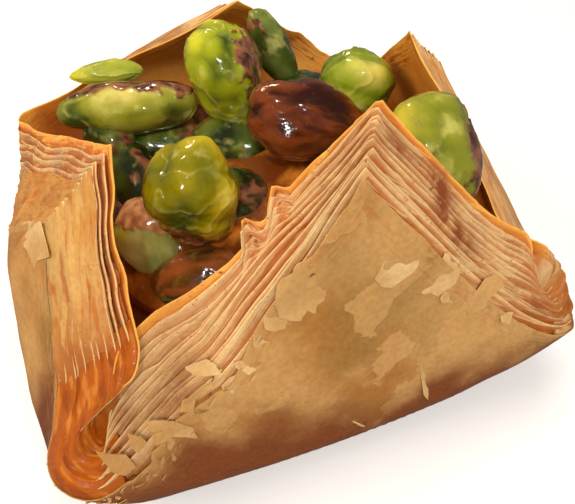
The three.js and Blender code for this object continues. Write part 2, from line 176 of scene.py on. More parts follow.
def foldPoints(x, y, depth):
    # Flat sheet coordinates and depth into the stack, in mm, to places on the folded piece
    x, y, depth = np.broadcast_arrays(*(np.asarray(values, float) for values in (x, y, depth)))
    px, py, pz = x.copy(), y.copy(), depth.copy()
    half = fold["halfSide"]
    swell = fold["swell"]
    for name, flap in fold["flaps"].items():
        outX, outY = flap["out"]
        outward = x * outX + y * outY
        sideways = y * outX - x * outY
        aside = np.clip(np.abs(sideways) / half, 0, 1)
        corner = aside ** 2
        pinch = np.where(sideways < 0, *flap["pinch"]) * aside ** fold["pinchPower"]
        pinch = pinch * np.clip(depth / fold["thickness"], 0, 1)
        radius = lerp(flap["radius"], fold["cornerRadius"], corner)
        turn = np.radians(lerp(flap["turn"], fold["cornerTurn"], corner))
        length = np.maximum(outward - (half + flap["bulge"] * (1 - corner) - pinch - radius), 0)
        inner = np.maximum(radius - depth * (1 - fold["cornerSquash"] * corner), fold["leastBend"])
        angle = np.minimum(length / inner, turn)
        straight = np.maximum(length - inner * turn, 0)
        height = np.minimum(straight / (flap["reach"] - half), 1)
        share = outward / flap["reach"] + np.abs(sideways) / fold["halfDiagonal"]
        margin = fold["marginScale"] * (1 - share)
        loose = (1 - depth / fold["thickness"]) * smoothStep(margin, 0, fold["bowMargin"])
        bow = flap["bow"] * (1 - corner) * np.sin(np.pi * height)
        if name == "left":
            low = smoothStep(length, 0, 4) * (1 - smoothStep(height, 0.1, 0.6))
            bow += swell["most"] * low * bellCurve(sideways / half, swell["middle"], swell["width"])
        run = inner * np.sin(angle) + straight * np.cos(turn) + bow * loose
        rise = inner * (1 - np.cos(angle)) + straight * np.sin(turn)
        lean = flap["lean"] * np.maximum(rise - fold["cornerRadius"], 0) / fold["leanHeight"]
        px += outX * (run - length) - outY * lean
        py += outY * (run - length) + outX * lean
        pz += rise
    drawn = bellCurve(np.hypot(x - half, y + half), 0, 9)
    px += fold["rightCorner"][0] * drawn
    py += fold["rightCorner"][1] * drawn
    return np.stack([px, py, pz], axis=-1)


def raisedPoints(x, y, depth, lift):
    # The same, moved by lift along the leaf's own inward normal, which leaves its length alone
    step = 0.05
    acrossX = foldPoints(x + step, y, depth) - foldPoints(x - step, y, depth)
    acrossY = foldPoints(x, y + step, depth) - foldPoints(x, y - step, depth)
    normal = np.cross(acrossX, acrossY)
    normal /= np.maximum(np.linalg.norm(normal, axis=-1, keepdims=True), 1e-9)
    return foldPoints(x, y, depth) + normal * np.asarray(lift)[..., None]


tips = [np.array(flap["out"]) * flap["reach"] for flap in fold["flaps"].values()]


def sheetPlace(m, n):
    # Grid coordinates from -1 to 1 to flat sheet coordinates
    across, along = (m + 1) / 2, (n + 1) / 2
    weights = [(1 - across) * (1 - along), across * (1 - along), across * along, (1 - across) * along]
    return [sum(w * tip[axis] for w, tip in zip(weights, tips)) for axis in (0, 1)]


leaves = {
    "count": 12,
    "leafThickness": 0.085,    # mm
    "pitches": (0.35, 1.65),   # least and most, as a share of an even spacing
    "perSide": 220,            # points along each side of the rim
    "bandWidth": 5.5,          # how far a hidden leaf reaches in behind its edge
    # The tables below go side by side: front to right, right to back, back to left, left to front.
    # In each side: tip, middle of the leg, low corner, middle of the next leg, next tip.
    # How far the outermost leaf stays behind the innermost, in mm
    "terraces": ((1.2, 0.8, 0.4, 2.6, 1.2), (0.2, 0.3, 0.2, 0.3, 0.2),
                 (0.2, 0.5, 4.0, 6.0, 2.4), (2.4, 0.6, 0.4, 0.9, -2.3)),
    # How far the leaves spread apart at their edges, as a share of their pitch
    "spread": ((0.1, 0.1, 0.1, 0.3, 0.1), (0.1, 0.1, 0.1, 0.1, 0.1),
               (0.1, 0.2, 0.1, 0.2, 0.1), (0.1, 0.3, 0.1, 0.3, 0.3)),
    # How torn the edges of the outer leaves are, in mm
    "torn": ((0.2, 0.15, 0.3, 0.2, 0.2), (0.2, 0.2, 0.2, 0.2, 0.2),
             (0.2, 0.2, 0.2, 0.2, 0.2), (0.3, 0.4, 0.3, 2.0, 0.3)),
    # How much shorter the innermost leaf is where two flaps meet, and over what share of the side
    "lowInset": (3.5, 0.0, 0.0, 5.0),
    "lowWidth": 0.16,
    # Where the outer leaves keep wide apart and the inner ones lie close
    "bunch": {"most": 2.6, "upTo": 3, "centre": 3.17, "width": 0.13},
    "palePlaces": [(3.72, 0.09, 0.9), (3.64, 0.03, 0.5), (0.28, 0.1, 0.35), (2.8, 0.1, 0.2)],
    # How far the inner leaves are torn back near the front tip: place along the rim, mm
    "notches": [(3.70, 0), (3.79, 1.0), (3.812, 1.2), (3.830, 0.0), (3.838, 1.1), (3.848, 1.3),
                (3.874, 0.1), (3.884, 0.9), (3.92, 0.3), (3.96, 0)],
    # Where beads of syrup sit on the edges
    "beadPlaces": [(3.74, 0.10, 0.9), (2.75, 0.16, 1.0), (0.12, 0.07, 0.7), (3.93, 0.04, 0.6),
                   (0.3, 0.1, 0.4), (3.45, 0.1, 0.5), (3.1, 0.12, 0.7)],
    # Where the leaves gape: place along the rim, its spread and how deep, in mm
    "openPlaces": [(3.13, 0.02, 0.5), (3.97, 0.03, 0.9), (0.03, 0.03, 0.6), (0.5, 0.05, 0.8),
                   (3.62, 0.03, 0.4)],
    "peel": {"from": 3, "most": 2.6, "centre": 3.86, "width": 0.075},
    "seed": 41,
}

legMarks = (0, 0.25, 0.5, 0.75, 1)
lastLeaf = leaves["count"] - 1
pitchShares = np.random.default_rng(leaves["seed"]).uniform(*leaves["pitches"], lastLeaf)
leafDepth = np.concatenate([[0], np.cumsum(pitchShares)]) / pitchShares.sum()
leafDepth *= fold["thickness"] - leaves["leafThickness"]


def sideValue(table, side, part):
    return np.interp(part, legMarks, leaves[table][side])


def rimValue(table, s):
    marks = [side + mark for side in range(4) for mark in legMarks]
    return np.interp(s % 4, np.array(marks) + np.tile([1e-6, 0, 0, 0, -1e-6], 4), np.ravel(leaves[table]))


leafWaves = [rimWaves(leaves["seed"] + k, (3, 7, 12, 19)) for k in range(lastLeaf)]
leafTears = [tornRun(leaves["seed"] + 40 + k, 2.2) for k in range(lastLeaf + 1)]
leafNicks = [tornRun(leaves["seed"] + 60 + k, 0.6) for k in range(lastLeaf + 1)]
spacingWaves = [rimWaves(leaves["seed"] + 80 + k, (5, 11, 17, 29)) for k in range(lastLeaf)]
recessWave = rimWaves(9, (9, 17, 31, 43))
faceWave = flatWaves(5, 13)
smallWave = flatWaves(6, 4.5)
edgeWave = flatWaves(7, 6)


def tipNearness(part):
    return np.abs(2 * part - 1)


def fromPlace(s, place):
    # How far s is from a place along the closed rim
    return (s - place + 2) % 4 - 2


def surfaceWave(x, y):
    return 0.16 * faceWave(x, y) + 0.05 * smallWave(x, y)


def leafInset(k, side, part):
    # How far the edge of leaf k stays behind the whole sheet, in mm
    if k < 0:
        return np.full_like(part, 14.0)
    s = (side + part) % 4
    bunch = leaves["bunch"]
    bunched = bunch["most"] * bellCurve(s, bunch["centre"], bunch["width"])
    weights = [pitchShares[j] * (1 + 0.85 * leafWaves[j](s)) * (1 + bunched * (j < bunch["upTo"]))
               for j in range(lastLeaf)]
    share = sum(weights[k:], np.zeros_like(part)) / sum(weights)
    torn = sideValue("torn", side, part) * max(0.2, 1 - k / 3)
    tear = torn * (leafTears[k](s) - 0.3) + (0.12 * torn + 0.07) * leafNicks[k](s)
    near = tipNearness(part)
    calm = smoothStep(near, 0.05, 0.25) * smoothStep(1 - near, 0, 0.04)
    low = leaves["lowInset"][side] * k / lastLeaf * bellCurve(near, 0, leaves["lowWidth"])
    terrace = sideValue("terraces", side, part) * share
    notch = np.interp(s, *zip(*leaves["notches"])) * np.clip((k - 6) / 3, 0, 1)
    return np.maximum(terrace + tear * calm, np.minimum(terrace, 0)) + low + notch


def sideParts(m, n):
    return (m + 1) / 2, (n + 1) / 2, (1 - m) / 2, (1 - n) / 2


def leafMap(k, m, n):
    # Squeezes the grid of the whole sheet into the outline of leaf k
    a = [leafInset(k, side, part) / fold["edgeDistance"] for side, part in enumerate(sideParts(m, n))]
    return lerp(-1 + a[3], 1 - a[1], (m + 1) / 2), lerp(-1 + a[0], 1 - a[2], (n + 1) / 2)


def sideDistances(m, n):
    edge = fold["edgeDistance"]
    return [edge * (1 + n), edge * (1 - m), edge * (1 - n), edge * (1 + m)]


def marginInside(k, m, n):
    # How far a place lies inside the outline of leaf k, less than 0 outside it
    return np.min([d - leafInset(k, side, np.clip(part, 0, 1))
                   for side, (d, part) in enumerate(zip(sideDistances(m, n), sideParts(m, n)))], axis=0)


def leafLift(k, s, m, n, x, y):
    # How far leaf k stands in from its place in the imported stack, in mm
    d = np.min(sideDistances(m, n), axis=0)
    near = tipNearness(s % 1)
    nearEdge = bellCurve(d, 0, 4.0) * smoothStep(near, 0.1, 0.45)
    spread = rimValue("spread", s)
    lift = np.zeros_like(x)
    for j in range(k):
        gap = (1 + 0.7 * spacingWaves[j](s)) * (1 + spread)
        lift += (leafDepth[j + 1] - leafDepth[j]) * nearEdge * (np.maximum(gap, 0.6) - 1)
    peel = leaves["peel"]
    if k > peel["from"]:
        amount = ((k - peel["from"]) / (lastLeaf - peel["from"])) ** 1.2
        lift += (peel["most"] * amount * bellCurve(fromPlace(s, peel["centre"]), 0, peel["width"])
                 * bellCurve(d, 0, 3.0))
    flap = smoothStep(np.hypot(x, y), fold["halfSide"], fold["halfSide"] + 5)
    return lift + flap * (surfaceWave(x, y) + 0.10 * nearEdge * edgeWave(x, y))


def leafGrid(k, s, rows):
    # Rows of grid coordinates at places s along the rim, from the edge of leaf k inwards
    side, part = np.floor(s).astype(int) % 4, s % 1
    t = 2 * part - 1
    one = np.ones_like(t)
    m = np.choose(side, [t, one, -t, -one])
    n = np.choose(side, [-one, t, one, -t])
    scale = (1 - np.array(rows) / fold["edgeDistance"])[:, None]
    gm, gn = leafMap(k, m[None, :] * scale, n[None, :] * scale)
    return gm, gn, np.broadcast_to(s, gm.shape)


def leafSpots(k, s, rows):
    # The same as places on the folded leaf
    m, n, s = leafGrid(k, s, rows)
    x, y = sheetPlace(m, n)
    return raisedPoints(x, y, leafDepth[k], leafLift(k, s, m, n, x, y))


# Where syrup has browned the edges: place along the rim from 0 to 4, leaf from 0 (outermost)
# to 1, their spreads, and how dark
stains = [
    (0.045, 0.75, 0.03, 0.16, 0.9), (0.13, 0.8, 0.04, 0.18, 1.2), (0.165, 0.5, 0.045, 0.18, 1.1),
    (0.22, 0.45, 0.04, 0.14, 0.7), (3.62, 0.5, 0.03, 0.3, 0.7), (3.7, 0.3, 0.03, 0.2, 0.8),
    (2.86, 0.6, 0.05, 0.3, 0.6), (2.93, 0.4, 0.04, 0.3, 0.5), (0.40, 0.3, 0.05, 0.15, 0.8),
    (3.45, 0.4, 0.05, 0.4, 0.4), (3.12, 0.3, 0.05, 0.4, 0.3), (3.97, 0.6, 0.05, 0.5, 0.5),
]


# Where syrup has gathered, in mm: the heights between which it fades out, how much higher it
# climbs on the left, and the corners it stands in, each with its place, spread and amount
soaks = {
    "fade": (3.0, 10.5), "most": 0.9, "leftClimb": 2.5, "leftDry": 0.75,
    "corners": [((-18.5, -18.5), 5.5, 1.15), ((19, -19), 4.0, 0.35)],
}


def soakTone(points):
    # Syrup gathers low down and at the front corners: 0 dry to 1 soaked
    x, y, z = points.T
    height = z + 1.8 * faceWave(x * 1.7, y * 1.7) + 1.0 * smallWave(x, z)
    low = 1 - smoothStep(height - soaks["leftClimb"] * smoothStep(-x, 0, 14), *soaks["fade"])
    low = low * (1 - soaks["leftDry"] * smoothStep(-x, 15, 19) * smoothStep(y, -16, -9))
    total = soaks["most"] * low
    for (cornerX, cornerY), width, amount in soaks["corners"]:
        total = total + amount * bellCurve(np.hypot(x - cornerX, y - cornerY), 0, width)
    return np.clip(total, 0, 1)


def stainTone(k, s):
    brown = sum(dark * bellCurve(fromPlace(s, place), 0, width) * bellCurve(k / lastLeaf, leaf, depth)
                for place, leaf, width, depth, dark in stains)
    return np.clip(brown, 0, 1)


def coverShade(k, m, n):
    # Painted shade with gathered syrup: 1 under leaf k and close by its edge, falling to 0 away from it
    if k < 0 or k > lastLeaf:
        return np.zeros_like(m)
    beyond = np.maximum(-marginInside(k, m, n), 0)
    return 0.75 * np.exp(-beyond / 0.14) + 0.25 * np.exp(-beyond / 0.6)


def rimPlaces(table, s):
    # How strongly the places named in one table of the settings mark the rim at s
    return sum(amount * bellCurve(fromPlace(s, place), 0, width)
               for place, width, amount in leaves[table])


def recess(s):
    # How far behind an edge the syrup between two leaves begins, in mm
    return 0.08 + 0.16 * (1 + recessWave(s)) + rimPlaces("openPlaces", s)


def buildLeaf(k, rows):
    # One thin closed leaf with the syrup behind it: its points, faces and tones
    m, n, s = leafGrid(k, np.arange(4 * leaves["perSide"]) / leaves["perSide"], rows)
    x, y = sheetPlace(m, n)
    own = np.maximum(marginInside(k, m, n), 0)
    lift = leafLift(k, s, m, n, x, y)
    depth, behind = leafDepth[k], lift + leaves["leafThickness"]
    if k < lastLeaf:
        filled = smoothStep(own - recess(s), 0, 0.3) * smoothStep(marginInside(k + 1, m, n), 0, 0.3)
        depth = lerp(leafDepth[k], leafDepth[k + 1], filled)
        behind = lerp(behind, leafLift(k + 1, s, m, n, x, y) - 0.004, filled)
    outer = raisedPoints(x, y, leafDepth[k], lift)
    inner = raisedPoints(x, y, depth, behind)
    index = np.arange(x.size).reshape(x.shape)
    quads = wrappedQuads(index)
    faces = [quads, quads[:, ::-1] + x.size, *(wallQuads(index[row], x.size) for row in (0, -1))]
    points = np.concatenate([outer.reshape(-1, 3), inner.reshape(-1, 3)])
    # Paler right at the leaf's own edge, for drier crust and partly a painted highlight of the lit edge
    edge = np.clip(bellCurve(own, 0, 0.16) + rimPlaces("palePlaces", s) * bellCurve(own, 0, 1.5), 0, 1)
    bead = np.clip(rimPlaces("beadPlaces", s) * bellCurve(own, 0, 0.35), 0, 1)
    both = {"Edge": edge, "Stain": stainTone(k, s) * bellCurve(own, 0, 1.2), "Bead": bead, "Inset": own}
    tones = {label: np.tile(values.ravel(), 2) for label, values in both.items()}
    # Painted shade and syrup where the leaves on either side run over this one
    tones["Crevice"] = np.concatenate([coverShade(other, m, n).ravel() for other in (k - 1, k + 1)])
    tones["Soak"] = soakTone(points)
    return points, np.concatenate(faces), tones


fullRows = np.concatenate([[0, 0.08, 0.18, 0.3, 0.5], np.arange(0.85, 25, 0.7), [26, 28, 29.4, 29.95]])
bandRows = np.concatenate([[0, 0.08, 0.18, 0.3, 0.45, 0.65], np.linspace(0.95, leaves["bandWidth"], 8)])


def joinLeaves(name, numbers):
    made = [buildLeaf(k, fullRows if k in (0, lastLeaf) else bandRows) for k in numbers]
    starts = np.cumsum([0] + [len(points) for points, faces, tones in made])
    faces = np.concatenate([faces + start for (points, faces, tones), start in zip(made, starts)])
    return pastryPiece(name, np.concatenate([leaf[0] for leaf in made]), faces.tolist(),
                       {label: np.concatenate([leaf[2][label] for leaf in made]) for label in made[0][2]})


# Syrup that has run over leaf edges and smoothed them: from and to along the rim, the leaves
# it covers, its height and waves in mm, how many waves cross it, and how soaked it looks
glazeLook = {"leaves": (0, 11), "height": 0.03, "sink": 0.6, "waves": (0.05, 3.0, 1.2)}
glazes = {
    "cornerSyrup": {"span": (3.235, 3.60), "height": 0.22, "sink": 0.9, "waves": (0.1, 7.0, 0.8),
                    "ends": (0.16, 0.25), "soak": 0.9},
    "leftGlaze": {"span": (2.985, 3.30), "leaves": (0, 8.6), "waves": (0.05, 7.0, 0.3),
                  "ends": (0.05, 0.3), "soak": 0.12},
    "leftTopGlaze": {"span": (2.60, 3.012), "leaves": (0, 6.5), "height": 0.02, "waves": (0.04, 5.0, 0.3),
                     "ends": (0.2, 0.05), "soak": 0.12},
    "rightGlaze": {"span": (0.66, 1.0), "ends": (0.2, 0.1), "soak": 0.2},
    "backGlaze": {"span": (2.04, 2.5), "ends": (0.1, 0.2), "soak": 0.4},
    "rightCornerGlaze": {"span": (0.455, 0.74), "height": 0.1, "sink": 0.8, "waves": (0.12, 5.0, 0.8),
                         "ends": (0.25, 0.3), "soak": 0.15},
}


def smoothedRows(rows, reach):
    # Evens out each row of places along itself
    kernel = np.exp(-np.linspace(-2, 2, 2 * reach + 1) ** 2)
    padded = np.pad(rows, ((0, 0), (reach, reach), (0, 0)), mode="edge")
    return np.apply_along_axis(lambda line: np.convolve(line, kernel / kernel.sum(), "valid"), 1, padded)


def glazeSoak(over, under, more):
    return np.clip(soakTone(np.concatenate([over.reshape(-1, 3), under.reshape(-1, 3)])) + more, 0, 1)


def buildGlaze(name, own):
    look = {**glazeLook, **own}
    along, across = 90, 36
    s = np.linspace(*look["span"], along)
    spots = [leafSpots(k, s, [0.0, 1.5]) for k in range(leaves["count"])]
    share = np.linspace(*look["leaves"], across)
    low = np.floor(share).astype(int).clip(0, lastLeaf - 1)
    part = (share - low)[:, None, None]
    rows = [smoothedRows(np.array(rims), 5)
            for rims in ([rim for rim, behind in spots], [rim - behind for rim, behind in spots])]
    edges, outwards = (lerp(row[low], row[low + 1], part) for row in rows)
    outwards /= np.linalg.norm(outwards, axis=-1, keepdims=True)
    u, v = np.meshgrid(np.linspace(0, 1, across), np.linspace(0, 1, along), indexing="ij")
    rim = smoothStep(v, 0, look["ends"][0]) * smoothStep(1 - v, 0, look["ends"][1])
    rim = rim * smoothStep(u, -0.05, 0.1) * smoothStep(1 - u, -0.05, 0.1)
    most, count, drift = look["waves"]
    wander = 0.5 * smallWave(edges[..., 0], edges[..., 1]) + drift * v
    wave = (np.sin(2 * np.pi * (count * u + wander))
            + 0.6 * np.sin(2 * np.pi * (2.3 * count * u + 1.7 * wander)))
    top = lerp(-0.3, look["height"] + most * wave, rim)
    over, under = edges + outwards * top[..., None], edges - outwards * look["sink"]
    return gridPiece(name, over, under, {
        # Painted shade in the troughs of the glaze's waves
        "Crevice": np.tile((0.6 * smoothStep(-wave, 0.2, 1.5) * rim).ravel(), 2),
        "Soak": glazeSoak(over, under, look["soak"]),
        "Bead": np.concatenate([(0.3 * rim).ravel(), np.zeros(u.size)]),
        "Inset": np.tile(0.25 + 1.6 * u.ravel(), 2)})


# Webs of leaf and syrup across the notch where two flaps meet: where, how far along either side,
# how deep they sag, in mm, and how soaked they look
webs = {
    "rightWeb": {"centre": 0.5, "spans": (0.2, 0.2), "sag": 0.5, "wave": 0.12, "soak": 0.15},
    "leftWeb": {"centre": 3.5, "spans": (0.22, 0.13), "sag": 0.4, "wave": 0.15, "soak": 0.8},
}


def buildWeb(name, look):
    v = np.linspace(0, 1, 48)
    rims = [leafSpots(lastLeaf - 2, look["centre"] + sign * span * v, [0.15])[0]
            for sign, span in zip((-1, 1), look["spans"])]
    first, last = smoothedRows(np.array(rims), 4)
    u = np.linspace(0, 1, 18)[:, None, None]
    top = lerp(first, last, u)
    top[..., 2] -= (look["sag"] * 4 * u * (1 - u))[..., 0] * v
    top[..., 2] += look["wave"] * np.sin(9 * u[..., 0] + 4 * v + 2 * smallWave(top[..., 0], top[..., 1]))
    under = top - [0, 0, 0.35]
    return gridPiece(name, top, under, {"Soak": glazeSoak(top, under, look["soak"])})


# Loose and torn bits of leaf: place on the flat sheet, half length and half width in mm, heading,
# number of corners, how far the far end stands up
flakes = [
    (-7.0, -36.4, 1.2, 0.7, 40, 7, 0.3), (-11.1, -34.1, 1.3, 0.6, 15, 8, 0.3),
    (-13.8, -30.0, 2.2, 0.9, 35, 9, 0.4), (-17.0, -27.8, 1.7, 0.8, 40, 8, 0.3),
    (-7.8, -35.2, 0.6, 0.4, 80, 5, 0.2), (-12.2, -31.4, 1.0, 0.7, 70, 7, 0.3),
    (-15.6, -29.4, 1.1, 0.6, 30, 7, 0.4), (-9.6, -32.6, 0.8, 0.5, 120, 6, 0.3),
    (-11.6, -32.4, 1.2, 0.6, 140, 7, 0.3), (-10.6, -33.2, 0.6, 0.4, 100, 5, 0.4),
    (5.4, -35.8, 2.0, 1.5, -35, 9, 0.15), (5.9, -33.9, 0.9, 0.8, 60, 6, 0.25),
    (12.0, -29.8, 0.8, 0.5, 40, 6, 0.3), (-5.2, -38.0, 2.6, 1.5, 70, 11, 0.06),
    (1.4, -37.8, 1.6, 1.3, 20, 9, 0.06), (-36.4, -0.4, 3.0, 2.6, 100, 9, 0.08),
    (5.9, -26.8, 4.2, 0.42, 73, 4, 0.12), (0.9, -23.6, 1.2, 0.3, 48, 5, 0.15),
    (9.0, -32.8, 1.8, 1.2, -40, 10, 0.06),
]


# Small scraps strewn along the torn edge of the outer leaf
scraps = {"count": 40, "span": (3.52, 3.84), "reach": (-0.2, 2.0), "size": (0.2, 0.7), "seed": 17}


def strewnScraps():
    rng = np.random.default_rng(scraps["seed"])
    for _ in range(scraps["count"]):
        s = rng.uniform(*scraps["span"], 1)
        m, n, _ = leafGrid(0, s, [rng.uniform(*scraps["reach"])])
        x, y = sheetPlace(m, n)
        size = rng.uniform(*scraps["size"]) * rng.uniform(0.6, 1)
        yield (x.item(), y.item(), size, size * rng.uniform(0.4, 0.8), rng.uniform(0, 180),
               rng.integers(4, 9), rng.uniform(0.05, 0.25))


def buildFlakes():
    around, rings = 36, np.array([1, 0.97, 0.8, 0.55, 0.3, 0.08])
    allPoints, allFaces = [], []
    for number, (x, y, length, width, heading, corners, rise) in enumerate([*flakes, *strewnScraps()]):
        rng = np.random.default_rng(300 + number)
        marks = (np.arange(corners) + rng.uniform(-0.35, 0.35, corners)) * 2 * np.pi / corners
        reach = rng.uniform(0.45, 1.3, corners) if corners > 4 else rng.uniform(0.9, 1.2, corners)
        t = np.arange(around) * corners / around
        outline = [np.interp(t, np.arange(corners), reach * turned(marks), period=corners)
                   for turned in (np.cos, np.sin)]
        a, b = (rings[:, None] * (line + rng.uniform(-0.035, 0.035, around)) for line in outline)
        turn = math.radians(heading)
        px = x + length * a * math.cos(turn) - width * b * math.sin(turn)
        py = y + length * a * math.sin(turn) + width * b * math.cos(turn)
        curl = (0.7 * rise + 0.1) * smoothStep(b, -0.9, 1.1) ** 1.5 - 0.1
        curl += 0.03 * smallWave(3 * px, 3 * py)
        base = surfaceWave(px, py) - 0.03 - curl
        start = sum(len(points) for points in allPoints)
        allPoints += [raisedPoints(px, py, 0, base + side).reshape(-1, 3) for side in (0.02, -0.04)]
        index = np.arange(start, start + px.size).reshape(px.shape)
        quads = wrappedQuads(index)
        wall = wallQuads(index[0], px.size)
        allFaces += np.concatenate([quads, quads[:, ::-1] + px.size, wall]).tolist()
        allFaces += [index[-1].tolist(), (index[-1][::-1] + px.size).tolist()]
    points = np.concatenate(allPoints)
    return pastryPiece("tornFlakes", points, allFaces, {"Soak": 0.3 * soakTone(points)})


leafGroups = {"outerLeaf": [0], "leavesOuter": [1, 2, 3, 4], "leavesMiddle": [5, 6, 7],
              "leavesInner": [8, 9, 10], "innerLeaf": [11]}
filoPieces = [joinLeaves(name, numbers) for name, numbers in leafGroups.items()]
print("made the leaves of the case")
filoPieces += [buildGlaze(name, own) for name, own in glazes.items()]
filoPieces += [buildWeb(name, look) for name, look in webs.items()]
filoPieces.append(buildFlakes())
print("made the syrup glazes and the torn flakes")


def feed(socket, value):
    # Links a wire to an input, or sets a plain value there
    if isinstance(value, Wire):
        value.tree.links.new(value.socket, socket)
    elif socket.type == "RGBA" and len(value) == 3:
        socket.default_value = (*value, 1)
    else:
        socket.default_value = value


def addNode(tree, kind, links=(), **settings):
    # links: input name or number -> a wire or a value
    node = tree.nodes.new(kind)
    for key, value in settings.items():
        setattr(node, key, value)
    for key, value in dict(links).items():
        feed(node.inputs[key], value)
    return node


class Wire:
    # One output of a node, to reckon with like a number
    def __init__(self, node, output=0):
        self.socket = node.outputs[output]
        self.tree = node.id_data

    def math(self, operation, *values):
        return Wire(addNode(self.tree, "ShaderNodeMath", enumerate(values), operation=operation))

    def __add__(self, other):
        return self.math("ADD", self, other)

    def __sub__(self, other):
        return self.math("SUBTRACT", self, other)

    def __rsub__(self, other):
        return self.math("SUBTRACT", other, self)

    def __mul__(self, other):
        return self.math("MULTIPLY", self, other)

    def vector(self, operation, other=(0, 0, 0), output=0):
        links = {0: self, "Scale" if operation == "SCALE" else 1: other}
        return Wire(addNode(self.tree, "ShaderNodeVectorMath", links, operation=operation), output)

    def ramp(self, low, high, toLow=0.0, toHigh=1.0):
        return Wire(addNode(self.tree, "ShaderNodeMapRange", {
            "Value": self, "From Min": low, "From Max": high, "To Min": toLow, "To Max": toHigh},
            interpolation_type="SMOOTHSTEP"))

    def noise(self, seed, scale, detail=3.0, output=0):
        return Wire(addNode(self.tree, "ShaderNodeTexNoise", {
            "Vector": self, "W": seed, "Scale": scale, "Detail": detail}, noise_dimensions="4D"), output)

    def blend(self, a, b, mode="MIX"):
        # The wire says how much of b there is in a
        node = self.tree.nodes.new("ShaderNodeMix")
        node.data_type = "RGBA"
        node.blend_type = mode
        for number, value in ((0, self), (6, a), (7, b)):
            feed(node.inputs[number], value)
        return Wire(node, 2)


def newGroup(name, kind, plain, given):
    # plain: input name -> its kind of socket, given: input name -> its first value
    group = bpy.data.node_groups.new(name, kind)
    kinds = {float: "Float", int: "Int", tuple: "Vector"}
    for label, value in (plain | given).items():
        kind = plain.get(label) or kinds[type(value)]
        socket = group.interface.new_socket(label, in_out="INPUT", socket_type="NodeSocket" + kind)
        if label in given:
            socket.default_value = value
    start = group.nodes.new("NodeGroupInput")
    return group, {label: Wire(start, label) for label in plain | given}


def endGroup(group, results):
    # results: output name and kind of socket -> the wire that ends there
    for (label, kind), wire in results.items():
        group.interface.new_socket(label, in_out="OUTPUT", socket_type="NodeSocket" + kind)
    end = group.nodes.new("NodeGroupOutput")
    for (label, kind), wire in results.items():
        feed(end.inputs[label], wire)
    return group


def useGroup(tree, group, values):
    node = addNode(tree, "ShaderNodeGroup", node_tree=group)
    for key in node.inputs.keys() & values.keys():
        feed(node.inputs[key], values[key])
    return node


def shade(*screen):
    # A colour as seen on a screen, 0 to 255, to the linear values that Blender uses
    return tuple(v / 255 / 12.92 if v <= 10 else ((v / 255 + 0.055) / 1.055) ** 2.4 for v in screen)


def makeFilmGroup():
    # A thin film of syrup: where it lies, how rough the surface is, and its small relief
    tree, given = newGroup("syrupFilm", "ShaderNodeTree", {"Vector": "Vector"}, {
        "Wetness": 0.5, "Dry Roughness": 0.6, "Wet Roughness": 0.2, "Scale": 300.0, "Seed": 0.0})
    place, scale = given["Vector"], given["Scale"]
    film = (place.noise(given["Seed"], scale, 4.0) + (given["Wetness"] - 0.5)).ramp(0.38, 0.66)
    rough = film * (given["Wet Roughness"] - given["Dry Roughness"]) + given["Dry Roughness"]
    grains = addNode(tree, "ShaderNodeTexVoronoi", {"Vector": place, "Scale": scale * 9.0})
    drops = Wire(grains, "Distance").ramp(0.0, 0.35, 1.0, 0.0) * film
    height = drops * 0.8 + place.noise(given["Seed"], scale * 6.0)
    return endGroup(tree, {
        ("Film", "Float"): film, ("Roughness", "Float"): rough, ("Height", "Float"): height})


